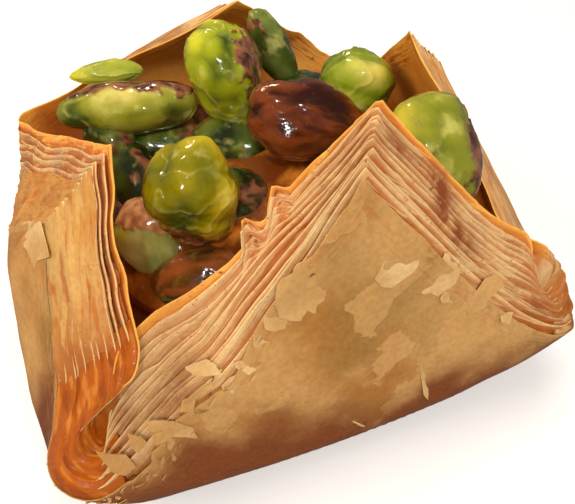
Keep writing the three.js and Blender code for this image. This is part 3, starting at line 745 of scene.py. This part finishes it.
def makeFiloToneGroup():
    # Baked pastry: golden, paler at torn edges for drier crust and a painted highlight, darker between
    # leaves as painted shade with syrup, and darker where syrup soaks in
    colours = ("Gold", "Cream", "Deep", "Soaked", "Caramel", "Speck", "Khaki")
    amounts = ("Seed", "Crevice", "Edge", "Soak", "Stain", "Scraps", "Inset", "Lines")
    tree, given = newGroup("filoTone", "ShaderNodeTree", {
        "Vector": "Vector", **dict.fromkeys(colours, "Color")}, dict.fromkeys(amounts, 0.0))
    place, seed, cream = given["Vector"], given["Seed"], given["Cream"]
    small = place.noise(seed, 620.0, 4.0)
    fine = place.noise(seed, 2600.0)
    tone = place.noise(seed, 130.0).ramp(0.36, 0.66).blend(given["Gold"], cream)
    tone = small.ramp(0.5, 0.75, 0.0, 0.5).blend(tone, cream)
    tone = place.noise(seed + 6.0, 75.0, 2.0).ramp(0.48, 0.62, 0.0, 0.7).blend(tone, given["Khaki"])
    scrap = place.noise(seed + 9.0, 170.0, 5.0).ramp(0.53, 0.545) * given["Scraps"]
    tone = scrap.blend(tone, cream)
    # Painted shade, with syrup, in the deep orange where a leaf runs under its neighbour
    tone = (given["Crevice"].math("POWER", given["Crevice"], 1.4) * 0.8).blend(tone, given["Deep"])
    wet = given["Soak"] + (small - 0.5) * 0.5
    tone = wet.ramp(0.12, 0.9).blend(tone, given["Soaked"])
    # Fine lines run with the edges, as of more and thinner leaves: pale lines for their drier, lit edges
    # (partly painted highlight) and dark lines for painted shade in the gaps between them
    across = Wire(addNode(tree, "ShaderNodeCombineXYZ", {"X": given["Inset"] * 0.001}))
    lines = place.vector("MULTIPLY", (0.1, 0.1, 0.1)).vector("ADD", across).noise(seed, 4200.0, 2.0)
    inBand = given["Inset"].ramp(1.2, 2.6, 1.0, 0.0) * given["Lines"]
    tone = (lines.ramp(0.54, 0.62, 0.0, 0.6) * inBand).blend(tone, cream)
    tone = (lines.ramp(0.46, 0.36, 0.0, 0.65) * inBand).blend(tone, given["Deep"])
    # Paler edges: drier crust with a painted highlight
    tone = (given["Edge"] * 0.7).blend(tone, cream)
    tone = (given["Stain"] * small.ramp(0.3, 0.6)).blend(tone, given["Caramel"])
    dots = Wire(addNode(tree, "ShaderNodeTexVoronoi", {"Vector": place, "Scale": 420.0}), "Distance")
    rare = place.math("GREATER_THAN", place.noise(seed, 260.0, 1.0), 0.6)
    tone = (dots.ramp(0.05, 0.11, 1.0, 0.0) * rare * 0.7).blend(tone, given["Speck"])
    tone = fine.ramp(0.3, 0.7, 0.0, 0.22).blend(tone, given["Gold"], "MULTIPLY")
    height = fine * 0.4 + small + scrap * 2.0 + lines * inBand * 4.0
    return endGroup(tree, {("Color", "Color"): tone, ("Height", "Float"): height})


def newMaterial(name):
    material = bpy.data.materials.new(name)
    material.use_nodes = True
    tree = material.node_tree
    return material, tree.nodes["Principled BSDF"], Wire(tree.nodes.new("ShaderNodeTexCoord"), "Object")


def setShader(shader, links):
    for key, value in links.items():
        feed(shader.inputs[key], value)


def bumped(height, distance, strength):
    return Wire(addNode(height.tree, "ShaderNodeBump", {
        "Height": height, "Distance": distance, "Strength": strength}))


filmGroup = makeFilmGroup()


def foodMaterial(name, seed, group, marks, look):
    # Colour and relief from a group that reads the marks on the mesh, under a film of syrup
    material, shader, place = newMaterial(name)
    tree = place.tree
    read = {label: Wire(addNode(tree, "ShaderNodeAttribute", attribute_name=label), "Fac")
            for label in marks}
    tone = useGroup(tree, group, {"Vector": place, "Seed": seed, **look, **read})
    wetness = read["Soak"] * 0.45 + look["Wetness"] if "Soak" in read else look["Wetness"]
    film = useGroup(tree, filmGroup, {
        **look, "Vector": place, "Wetness": wetness, "Seed": seed + look["filmSeed"]})
    setShader(shader, {
        "Base Color": Wire(tone, "Color"), "Roughness": Wire(film, "Roughness"),
        "Coat Weight": Wire(film, "Film") * look["gloss"], **look["shader"],
        "Normal": bumped(Wire(tone, "Height") + Wire(film, "Height"), *look["relief"])})
    return material


filoGroup = makeFiloToneGroup()
filoMarks = ("Crevice", "Edge", "Soak", "Stain", "Inset")
filoLook = {
    # The deep orange colour is painted shade with syrup, for the crevices between leaves
    "Gold": shade(190, 134, 66), "Cream": shade(228, 192, 134), "Deep": shade(180, 90, 24),
    "Soaked": shade(160, 84, 28), "Caramel": shade(140, 66, 22), "Speck": shade(70, 30, 14),
    "Lines": 1.0, "Scraps": 0.0, "gloss": 0.65, "relief": (0.00004, 0.8),
    "Wetness": 0.42, "Dry Roughness": 0.65, "Wet Roughness": 0.4, "Scale": 420.0, "filmSeed": 3.0,
    "shader": {"Coat Roughness": 0.08, "Specular IOR Level": 0.28, "Subsurface Weight": 0.15,
               "Subsurface Radius": (1.0, 0.6, 0.25), "Subsurface Scale": 0.0008},
}
glowing = {"Wetness": 0.5, "gloss": 0.7, "shader": {**filoLook["shader"], "Subsurface Weight": 0.3}}
filoLooks = {
    "outerLeaf": {"Gold": shade(160, 104, 38), "Cream": shade(190, 144, 82), "Soaked": shade(122, 62, 18),
                  "Khaki": shade(138, 106, 48), "Scraps": 0.7, "gloss": 0.2, "Lines": 0.5},
    # The inner leaf's lighter, more orange colours are painted light, for light shining through the thin
    # leaves into the shaded hollow
    "innerLeaf": {"Gold": shade(246, 150, 46), "Cream": shade(248, 180, 84)},
    "cornerSyrup": {"Gold": shade(186, 104, 18), "Cream": shade(206, 132, 48),
                    "Soaked": shade(168, 84, 8), "Deep": shade(132, 56, 6), **glowing},
    "leftWeb": {"Gold": shade(184, 102, 18), "Cream": shade(204, 130, 46), "Soaked": shade(164, 82, 10),
                **glowing},
    "leftGlaze": {"Gold": shade(190, 134, 60), "Cream": shade(210, 164, 94), "Wetness": 0.6},
    "leftTopGlaze": {"Gold": shade(190, 118, 40), "Cream": shade(206, 148, 68), "Wetness": 0.5,
                     "gloss": 0.25},
    "rightGlaze": {"Gold": shade(206, 148, 82), "Cream": shade(214, 168, 110)},
    "tornFlakes": {"Gold": shade(188, 140, 80), "Cream": shade(222, 182, 124),
                   "Khaki": shade(172, 122, 64), "Lines": 0.0},
}
for number, piece in enumerate(filoPieces):
    look = filoLook | filoLooks.get(piece.name, {})
    look.setdefault("Khaki", look["Gold"])
    name = "filoPastry" + str(number + 1)
    piece.data.materials.append(foodMaterial(name, 2.0 * number, filoGroup, filoMarks, look))
print("filo pastry has its finish")


formInputs = {"Geometry": "Geometry", "Material": "Material"}


def finishForm(tree, geometry, material):
    # How every form tree ends: smooth, with its instances made real and its material set
    for kind in ("GeometryNodeRealizeInstances", "GeometryNodeSetShadeSmooth"):
        geometry = Wire(addNode(tree, kind, {"Geometry": geometry}))
    done = Wire(addNode(tree, "GeometryNodeSetMaterial", {"Geometry": geometry, "Material": material}))
    return endGroup(tree, {("Geometry", "Geometry"): done})


def buildKernelTree():
    # Rounds a plain kernel and gives it lobes, creases, a skin patch and fine wrinkles
    tree, given = newGroup("kernelForm", "GeometryNodeTree", formInputs, {
        "Levels": 3, "Swell": 0.00028, "Middle": (0, 0, 0), "Axis": (0, 0, 1), "Stretch": 0.35,
        "Lump Height": 0.0004, "Lump Scale": 230.0, "Crease Depth": 0.0003, "Crease Scale": 330.0,
        "Fold Height": 0.00009, "Fold Scale": 330.0, "Wrinkle Height": 0.00006, "Wrinkle Scale": 1500.0,
        "Skin Way": (0, 0, 1), "Skin Reach": 0.0, "Skin Thickness": 0.00012, "Seed": 0.0})
    merged = addNode(tree, "GeometryNodeMergeByDistance", {
        "Geometry": given["Geometry"], "Distance": 1e-6})
    current = Wire(addNode(tree, "GeometryNodeSubdivisionSurface", {
        "Mesh": Wire(merged), "Level": given["Levels"]}))
    seed = given["Seed"]
    normal = Wire(addNode(tree, "GeometryNodeInputNormal"))
    local = Wire(addNode(tree, "GeometryNodeInputPosition")).vector("SUBTRACT", given["Middle"])
    along = local.vector("DOT_PRODUCT", given["Axis"], 1)
    drawn = local.vector("ADD", given["Axis"].vector("SCALE", along * (given["Stretch"] - 1.0)))
    warped = drawn.vector("ADD", local.noise(seed, 260.0, 2.0, 1).vector("SCALE", 0.0014))
    cells = addNode(tree, "ShaderNodeTexVoronoi", {
        "Vector": warped, "W": seed, "Scale": given["Crease Scale"], "Smoothness": 0.14},
        voronoi_dimensions="4D", feature="SMOOTH_F1")
    crease = 0.45 - Wire(cells, "Distance")
    level = warped.noise(seed, given["Fold Scale"], 1.5) - 0.5
    ridge = level.math("ABSOLUTE", level).ramp(0.0, 0.035, 1.0, 0.0)
    facing = normal.vector("DOT_PRODUCT", given["Skin Way"], 1)
    reach = facing + (local.noise(seed, 900.0, 4.0) - 0.5) * 1.1 + given["Skin Reach"]
    skin = reach.ramp(0.97, 1.06)
    folds = drawn.noise(seed, given["Wrinkle Scale"])
    lumps = (local.noise(seed, given["Lump Scale"], 1.0) - 0.5) * given["Lump Height"]
    raised = lumps * 4.0 + given["Swell"] + crease * given["Crease Depth"]
    raised += ridge * given["Fold Height"] + skin * given["Skin Thickness"]
    raised += (folds - 0.5) * given["Wrinkle Height"] * (skin * 1.6 + 1.6)
    for label, value in (("Crease", crease), ("Ridge", ridge), ("Skin Mask", skin), ("Wrinkle", folds)):
        current = Wire(addNode(tree, "GeometryNodeStoreNamedAttribute", {
            "Geometry": current, "Name": label, "Value": value}, data_type="FLOAT", domain="POINT"))
    shaped = addNode(tree, "GeometryNodeSetPosition", {
        "Geometry": current, "Offset": normal.vector("SCALE", raised)})
    return finishForm(tree, Wire(shaped), given["Material"])


def applyTree(name, baseMesh, tree, values):
    # Runs a node tree on a base mesh and keeps the plain result
    piece = bpy.data.objects.new(name, baseMesh)
    bpy.context.scene.collection.objects.link(piece)
    modifier = piece.modifiers.new("form", "NODES")
    modifier.node_group = tree
    for item in tree.interface.items_tree:
        if item.in_out == "INPUT" and item.name in values:
            modifier[item.identifier] = values[item.name]
    bpy.context.view_layer.update()
    evaluated = piece.evaluated_get(bpy.context.evaluated_depsgraph_get())
    finished = bpy.data.meshes.new_from_object(evaluated)
    finished.name = name
    piece.modifiers.clear()
    piece.data = finished
    return piece


def makeKernelToneGroup():
    # Pistachio flesh, yellow on its lobes and dark green in its creases as painted light and painted
    # shade, paler on its ridges, under a torn brown skin
    colours = ("Green", "Dark Green", "Yellow", "Pale", "Skin", "Dark Skin")
    amounts = ("Seed", "Yellowness", "Darkness", "Crease", "Ridge", "Skin Mask", "Wrinkle", "Flecks")
    tree, given = newGroup("kernelTone", "ShaderNodeTree", {
        "Vector": "Vector", **dict.fromkeys(colours, "Color")}, dict.fromkeys(amounts, 0.0))
    place, seed = given["Vector"], given["Seed"]
    small = place.noise(seed + 4.0, 900.0, 4.0)
    # The crease tone paints shade: the flesh turns dark green in the creases and yellow on the lobes
    # between them
    level = given["Crease"] * 0.8 + (place.noise(seed, 260.0) - 0.5) + (given["Yellowness"] - 0.5)
    flesh = level.ramp(-0.3, 0.05).blend(given["Dark Green"], given["Green"])
    flesh = level.ramp(0.0, 0.45).blend(flesh, given["Yellow"])
    flesh = (given["Ridge"] * small.ramp(0.35, 0.65, 0.0, 0.3)).blend(flesh, given["Pale"])
    flesh = place.noise(seed + 8.0, 500.0, 5.0).ramp(0.56, 0.7, 0.0, 0.4).blend(flesh, given["Pale"])
    shadow = given["Darkness"] + (small - 0.55)
    flesh = shadow.ramp(0.0, 0.5, 0.0, 0.8).blend(flesh, given["Dark Green"])
    # The skin is darker in the hollows of its wrinkles and lighter on their crests: painted shade
    coat = given["Wrinkle"].ramp(0.35, 0.62).blend(given["Dark Skin"], given["Skin"])
    coat = (small.ramp(0.55, 0.8) * given["Flecks"]).blend(coat, given["Yellow"])
    height = place.noise(seed, 3200.0) * 0.5 + small
    tone = given["Skin Mask"].blend(flesh, coat)
    return endGroup(tree, {("Color", "Color"): tone, ("Height", "Float"): height})


kernelToneGroup = makeKernelToneGroup()
kernelMarks = ("Crease", "Ridge", "Skin Mask", "Wrinkle")
kernelLook = {
    "Green": shade(126, 140, 22), "Dark Green": shade(52, 66, 14), "Yellow": shade(196, 182, 46),
    "Pale": shade(214, 204, 112), "Skin": shade(140, 84, 56), "Dark Skin": shade(58, 28, 20),
    "Yellowness": 0.5, "Darkness": 0.0, "Flecks": 0.4, "gloss": 0.8, "relief": (0.00003, 0.7),
    "Wetness": 0.72, "Dry Roughness": 0.42, "Wet Roughness": 0.16, "Scale": 500.0, "filmSeed": 1.0,
    "shader": {"Coat Roughness": 0.06, "Specular IOR Level": 0.3, "Subsurface Weight": 0.15,
               "Subsurface Radius": (0.6, 0.8, 0.15), "Subsurface Scale": 0.001},
}
# Each top kernel: how its form and its colours depart from the common ones. "way" is where its
# skin is left, "reach" how much of it.
kernels = {
    "kernel_knobbly": {
        "form": {"Levels": 4, "Crease Depth": 0.0014, "Crease Scale": 290.0, "Stretch": 0.8,
                 "Swell": 0.00005, "Fold Height": 0.00006, "Wrinkle Height": 0.00025,
                 "Wrinkle Scale": 620.0},
        "look": {"Green": shade(122, 114, 8), "Yellow": shade(212, 180, 26), "Yellowness": 0.72},
        "way": (-0.3, -0.5, -0.8), "reach": 0.15},
    "kernel_back": {
        "form": {"Levels": 4, "Lump Height": 0.0003, "Crease Depth": 0.0006, "Crease Scale": 420.0,
                 "Stretch": 0.7},
        "look": {"Green": shade(140, 146, 18), "Yellow": shade(194, 186, 42), "Yellowness": 0.68},
        "way": (0.9, -0.4, 0.1), "reach": 0.35},
    "kernel_long": {
        "form": {"Levels": 4, "Fold Height": 0.00005},
        "look": {"Green": shade(134, 132, 36), "Yellow": shade(208, 190, 100), "Yellowness": 0.6},
        "way": (0.35, 0.35, 0.85), "reach": 0.3},
    "kernel_dark": {
        "form": {"Levels": 4, "Wrinkle Height": 0.0002, "Wrinkle Scale": 700.0, "Skin Thickness": 0.0},
        "look": {"Skin": shade(112, 52, 20), "Dark Skin": shade(44, 14, 6), "Flecks": 0.0},
        "way": (0, 0, 1), "reach": 3.0},
    "kernel_right": {
        "form": {"Levels": 4, "Crease Depth": 0.0008, "Crease Scale": 300.0, "Stretch": 0.7,
                 "Fold Height": 0.00004, "Wrinkle Height": 0.00014, "Wrinkle Scale": 700.0},
        "look": {"Green": shade(124, 126, 32), "Yellow": shade(196, 176, 54), "Yellowness": 0.68},
        "way": (0.8, -0.55, -0.2), "reach": 0.4},
    # The front kernel's colours are lifted well above the flesh's own: painted light against the shade of
    # the hollow it sits in
    "kernel_front": {
        "form": {"Crease Depth": 0.0002, "Fold Height": 0.00004},
        "look": {"Green": shade(214, 206, 120), "Dark Green": shade(160, 160, 78),
                 "Skin": shade(232, 166, 112), "Dark Skin": shade(170, 106, 62)},
        "way": (0.1, 0.2, 0.95), "reach": 0.6},
    "kernel_far": {
        "form": {"Crease Depth": 0.0009, "Crease Scale": 380.0, "Stretch": 0.7,
                 "Wrinkle Height": 0.00014},
        "look": {"Yellowness": 0.6, "Yellow": shade(200, 186, 84)},
        "way": (0.8, 0.5, 0.3), "reach": 0.2},
    "kernel_thin": {
        "form": {"Swell": 0.00015, "Lump Height": 0.0002}, "look": {"Green": shade(116, 126, 56)},
        "way": (-0.8, -0.3, 0.5), "reach": 0.1},
    "kernel_low": {
        "form": {"Wrinkle Height": 0.00018, "Wrinkle Scale": 900.0},
        "look": {"Skin": shade(150, 80, 34), "Dark Skin": shade(72, 44, 14), "Flecks": 0.25},
        "way": (0.3, -0.1, 0.95), "reach": 0.9},
    "kernel_behind": {
        "form": {"Swell": -0.0003, "Lump Height": 0.0001, "Crease Depth": 0.0002},
        "look": {"Green": shade(150, 156, 50), "Yellowness": 0.7},
        "way": (0.5, 0.5, -0.7), "reach": 0.0},
}
kernelTree = buildKernelTree()


def kernelPiece(name, skinName, base, seed, own, reach, form):
    material = foodMaterial(skinName, seed, kernelToneGroup, kernelMarks, kernelLook | own["look"])
    return applyTree(name, base, kernelTree, {
        "Skin Way": Vector(own["way"]).normalized()[:], "Skin Reach": reach, "Seed": seed,
        "Material": material, **form})


for number, (name, own) in enumerate(kernels.items()):
    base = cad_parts[name].data.copy()
    points = np.array([vertex.co for vertex in base.vertices])
    middle = points.mean(axis=0)
    axis = np.linalg.svd(points - middle, full_matrices=False)[2][0]
    piece = kernelPiece(name + "Nut", name + "Skin", base, 1.3 + 1.7 * number, own, own["reach"], {
        "Middle": middle.tolist(), "Axis": axis.tolist(), **own["form"]})
    standFor(piece, name, "dark_kernel" if name in ("kernel_dark", "kernel_low") else "green_kernel")
print("made the kernels on top")

# The kernels below: place, heading, pitch, length and width, in mm and degrees, as in the solids
bed = {
    "lower": [
        ((-11.0, 7.4, 11.0), -95, -58, 9.0, 4.6), ((-6.0, 9.0, 10.4), 172, 0, 9.0, 6.0),
        ((0.7, 4.6, 11.4), -26, -8, 9.4, 6.0), ((-1.3, -1.6, 10.2), -24, -46, 8.6, 6.0),
        ((-9.6, 4.4, 9.8), -95, -40, 7.6, 5.0), ((7.6, -4.6, 13.0), 40, 10, 9.0, 6.0),
        ((8.4, 6.6, 12.6), -60, -12, 9.0, 6.0), ((0.6, -8.0, 11.2), 8, 12, 10.0, 6.0),
    ],
    "footCount": 9, "footFrom": -68, "footStep": 29, "footReach": (12.2, 11.6),
    "footLength": 8.6, "footWidth": 5.6,
    "moundLevels": [(2.7, 12.2), (3.7, 14.6), (7.0, 14.8), (9.4, 12.8), (11.8, 9.6)],
    "bareCorner": 0.24,
    "look": {"Green": shade(84, 98, 28), "Dark Green": shade(30, 38, 10), "Yellow": shade(150, 146, 60),
             "Yellowness": 0.4, "Darkness": 0.15},
    "way": (0.5, -0.5, 0.7),
}


def footKernels():
    for k in range(bed["footCount"]):
        angle = math.radians(bed["footFrom"] + bed["footStep"] * k)
        place = (bed["footReach"][0] * math.cos(angle) + 0.6, bed["footReach"][1] * math.sin(angle),
                 9.2 + 1.6 * math.cos(angle))
        yield place, k * 113 % 180, 20 * math.sin(2.3 * k), bed["footLength"], bed["footWidth"]


def bedBase(kernelList):
    shell = bmesh.new()
    for place, heading, pitch, length, width in kernelList:
        h, p = math.radians(heading), math.radians(pitch)
        direction = Vector((math.cos(h) * math.cos(p), math.sin(h) * math.cos(p), math.sin(p)))
        size = Matrix.Diagonal((width / 2 * mm, width / 2 * mm * 0.92, length / 2 * mm, 1))
        turned = direction.to_track_quat("Z", "Y").to_matrix().to_4x4()
        matrix = Matrix.Translation(Vector(place) * mm) @ turned @ size
        bmesh.ops.create_uvsphere(shell, u_segments=14, v_segments=9, radius=1, matrix=matrix)
    mesh = bpy.data.meshes.new("bedKernels")
    shell.to_mesh(mesh)
    shell.free()
    return mesh


for name, kernelList, seed, reach in (("lowerKernels", bed["lower"], 31.0, 0.1),
                                      ("footKernels", footKernels(), 37.0, 0.3)):
    piece = kernelPiece(name, name + "Skin", bedBase(kernelList), seed, bed, reach, {
        "Levels": 2, "Stretch": 1.0})
    standFor(piece, "kernel_bed", "bed_kernels")


def makeSyrupMaterial(name, thin, thick, seed):
    # Syrup with crumbs in it: amber where it is thin, near black where it is deep
    material, shader, place = newMaterial(name)
    clots = place.noise(seed, 420.0, 4.0)
    crumbs = place.noise(seed + 5.0, 1500.0)
    tone = clots.ramp(0.42, 0.68).blend(thick, thin)
    tone = crumbs.ramp(0.6, 0.72, 0.0, 0.5).blend(tone, shade(96, 84, 30))
    film = useGroup(place.tree, filmGroup, {
        "Vector": place, "Wetness": 0.85, "Dry Roughness": 0.3, "Wet Roughness": 0.08, "Scale": 260.0,
        "Seed": seed})
    setShader(shader, {
        "Base Color": tone, "Roughness": Wire(film, "Roughness"), "Coat Weight": Wire(film, "Film"),
        "Coat Roughness": 0.04, "Normal": bumped(clots * 2.0 + crumbs, 0.00008, 0.6)})
    return material


def buildSyrupBed():
    # Dark syrup and crumbs that fill the foot of the heap
    ringCount, around = 14, 96
    heights, halves = zip(*bed["moundLevels"])
    angle = np.linspace(0, 2 * np.pi, around, endpoint=False)
    bare = 1 - bed["bareCorner"] * bellCurve(angle, 1.25 * np.pi, 0.55)
    squareness = (np.abs(np.cos(angle)) ** 3 + np.abs(np.sin(angle)) ** 3) ** (1 / 3)
    levels = [(z, 1.0) for z in np.linspace(heights[0], heights[-1], ringCount)]
    points = []
    for z, scale in [*levels, (heights[-1] + 0.5, 0.6), (heights[-1] + 0.8, 0.2)]:
        reach = np.interp(z, heights, halves) / squareness * bare * scale
        x, y = reach * np.cos(angle) + 0.6, reach * np.sin(angle) - 0.2
        slope = (0.16 * x + 0.02 * y) * smoothStep(z, 4, 10)
        points.append(np.stack([x, y, z + slope + 0.25 * smallWave(x, y)], -1))
    index = np.arange(len(points) * around).reshape(-1, around)
    faces = wrappedQuads(index).tolist() + [index[0][::-1].tolist(), index[-1].tolist()]
    piece = makeMesh("syrupBed", np.concatenate(points), faces)
    turnFacesOut(piece)
    syrup = makeSyrupMaterial("darkSyrup", shade(206, 120, 40), shade(108, 50, 14), 51.0)
    piece.data.materials.append(syrup)
    standFor(piece, "kernel_bed", "bed_kernels")


buildSyrupBed()
print("made the bed")

beads = {"Density": 7.0e6, "Smallest": 0.00004, "Largest": 0.0001, "Flatness": 0.6, "Patch Scale": 700.0}


def buildBeadTree():
    # Small beads of syrup scattered where the base carries its bead tone
    tree, given = newGroup("syrupBeads", "GeometryNodeTree", formInputs, {**beads, "Seed": 1})
    mask = Wire(addNode(tree, "GeometryNodeInputNamedAttribute", {"Name": "Bead"}, data_type="FLOAT"))
    place = Wire(addNode(tree, "GeometryNodeInputPosition"))
    patches = place.noise(3.0, given["Patch Scale"], 2.0).ramp(0.42, 0.62)
    points = addNode(tree, "GeometryNodeDistributePointsOnFaces", {
        "Mesh": given["Geometry"], "Density": mask * patches * given["Density"], "Seed": given["Seed"]})
    bead = addNode(tree, "GeometryNodeMeshUVSphere", {"Segments": 8, "Rings": 5, "Radius": 1.0})
    size = Wire(addNode(tree, "FunctionNodeRandomValue", {
        2: given["Smallest"], 3: given["Largest"], "Seed": given["Seed"]}, data_type="FLOAT"), 1)
    scale = Wire(addNode(tree, "ShaderNodeCombineXYZ", {0: size, 1: size, 2: size * given["Flatness"]}))
    placed = addNode(tree, "GeometryNodeInstanceOnPoints", {
        "Points": Wire(points, "Points"), "Instance": Wire(bead, "Mesh"),
        "Rotation": Wire(points, "Rotation"), "Scale": scale})
    return finishForm(tree, Wire(placed), given["Material"])


def makeBeadMaterial():
    material, shader, place = newMaterial("syrupBead")
    setShader(shader, {
        "Base Color": place.noise(7.0, 900.0).blend(shade(196, 134, 66), shade(226, 180, 118)),
        "Roughness": 0.15, "Coat Weight": 1.0, "Coat Roughness": 0.05, "Specular IOR Level": 0.8,
        "Alpha": 0.7})
    return material


beadTree = buildBeadTree()
beadMaterial = makeBeadMaterial()
for number, base in enumerate(filoPieces):
    if "Bead" in base.data.attributes and base.name not in ("backGlaze", "rightGlaze", "cornerSyrup"):
        piece = applyTree(base.name + "Beads", base.data.copy(), beadTree, {
            **beads, "Seed": 5 + number, "Material": beadMaterial})
        standFor(piece, "pastry_case", "filo_pastry")
print("made the beads of syrup")

view = {
    "turn": 20.34, "rise": 50.73, "roll": 0.28,      # degrees
    "distance": 62.52,                               # mm
    "focalPixels": 622.73, "centre": (255.03, 265.09), "frame": (575, 504),
}


def makeCamera():
    t, e = math.radians(view["turn"]), math.radians(view["rise"])
    back = Vector((-math.sin(t) * math.cos(e), -math.cos(t) * math.cos(e), math.sin(e)))
    right = Vector((math.cos(t), -math.sin(t), 0))
    turned = Matrix((right, back.cross(right), back)).transposed().to_4x4()
    camera = bpy.data.objects.new("camera", bpy.data.cameras.new("camera"))
    bpy.context.scene.collection.objects.link(camera)
    camera.matrix_world = (Matrix.Translation(back * view["distance"] * mm) @ turned
                           @ Matrix.Rotation(math.radians(view["roll"]), 4, "Z"))
    width, height = view["frame"]
    camera.data.sensor_width = 36
    camera.data.lens = view["focalPixels"] / width * 36
    camera.data.shift_x = (width / 2 - view["centre"][0]) / width
    camera.data.shift_y = (view["centre"][1] - height / 2) / width
    camera.data.clip_start = 0.001
    bpy.context.scene.camera = camera


# Place and size in m, power in W, colour, and whether gloss shows the lamp
lights = {
    "softKey": ((-0.05, -0.165, 0.24), 0.12, 0.38, (1.0, 0.95, 0.89), False),
    "softLeft": ((-0.20, 0.03, 0.16), 0.12, 0.3, (1.0, 0.86, 0.68), False),
    "softFill": ((0.20, -0.12, 0.14), 0.2, 0.09, (1.0, 0.93, 0.86), False),
    "softBack": ((0.05, 0.10, 0.25), 0.15, 0.25, (1.0, 0.95, 0.88), False),
    "coolSpark": ((-0.05, -0.13, 0.19), 0.009, 0.16, (0.9, 0.95, 1.0), True),
    "warmLamp": ((0.0, 0.17, 0.17), 0.02, 0.10, (1.0, 0.72, 0.48), True),
}
litPlace = Vector((0, 0, 0.012))                     # m, what the lamps are turned to


def makeLight(name, place, size, power, colour, glossy):
    light = bpy.data.lights.new(name, "AREA")
    light.size = size
    light.energy = power
    light.color = colour
    lamp = bpy.data.objects.new(name, light)
    lamp.location = place
    lamp.rotation_euler = (litPlace - Vector(place)).to_track_quat("-Z", "Y").to_euler()
    lamp.visible_glossy = glossy
    bpy.context.scene.collection.objects.link(lamp)


def makeFloor():
    corners = [(x * 900, y * 900, -0.05) for x, y in ((-1, -1), (1, -1), (1, 1), (-1, 1))]
    floor = makeMesh("floor", corners, [(0, 1, 2, 3)])
    material, shader, place = newMaterial("paleFloor")
    tone = place.noise(0.0, 30.0, 2.0).blend(shade(236, 234, 231), shade(240, 238, 236))
    setShader(shader, {"Base Color": tone, "Roughness": 0.7})
    floor.data.materials.append(material)
    floor.visible_glossy = False


def makeRoom():
    # Soft light from all sides, dimmer in reflections so that gloss keeps its colour
    world = bpy.data.worlds.new("room")
    world.use_nodes = True
    glossy = Wire(world.node_tree.nodes.new("ShaderNodeLightPath"), "Is Glossy Ray")
    background = world.node_tree.nodes["Background"]
    feed(background.inputs["Color"], (0.95, 0.93, 0.9))
    feed(background.inputs["Strength"], glossy * -0.3 + 0.42)
    bpy.context.scene.world = world


makeCamera()
makeFloor()
for name, settings in lights.items():
    makeLight(name, *settings)
makeRoom()
bpy.context.scene.view_settings.view_transform = "Standard"
print("camera, floor and lights done")
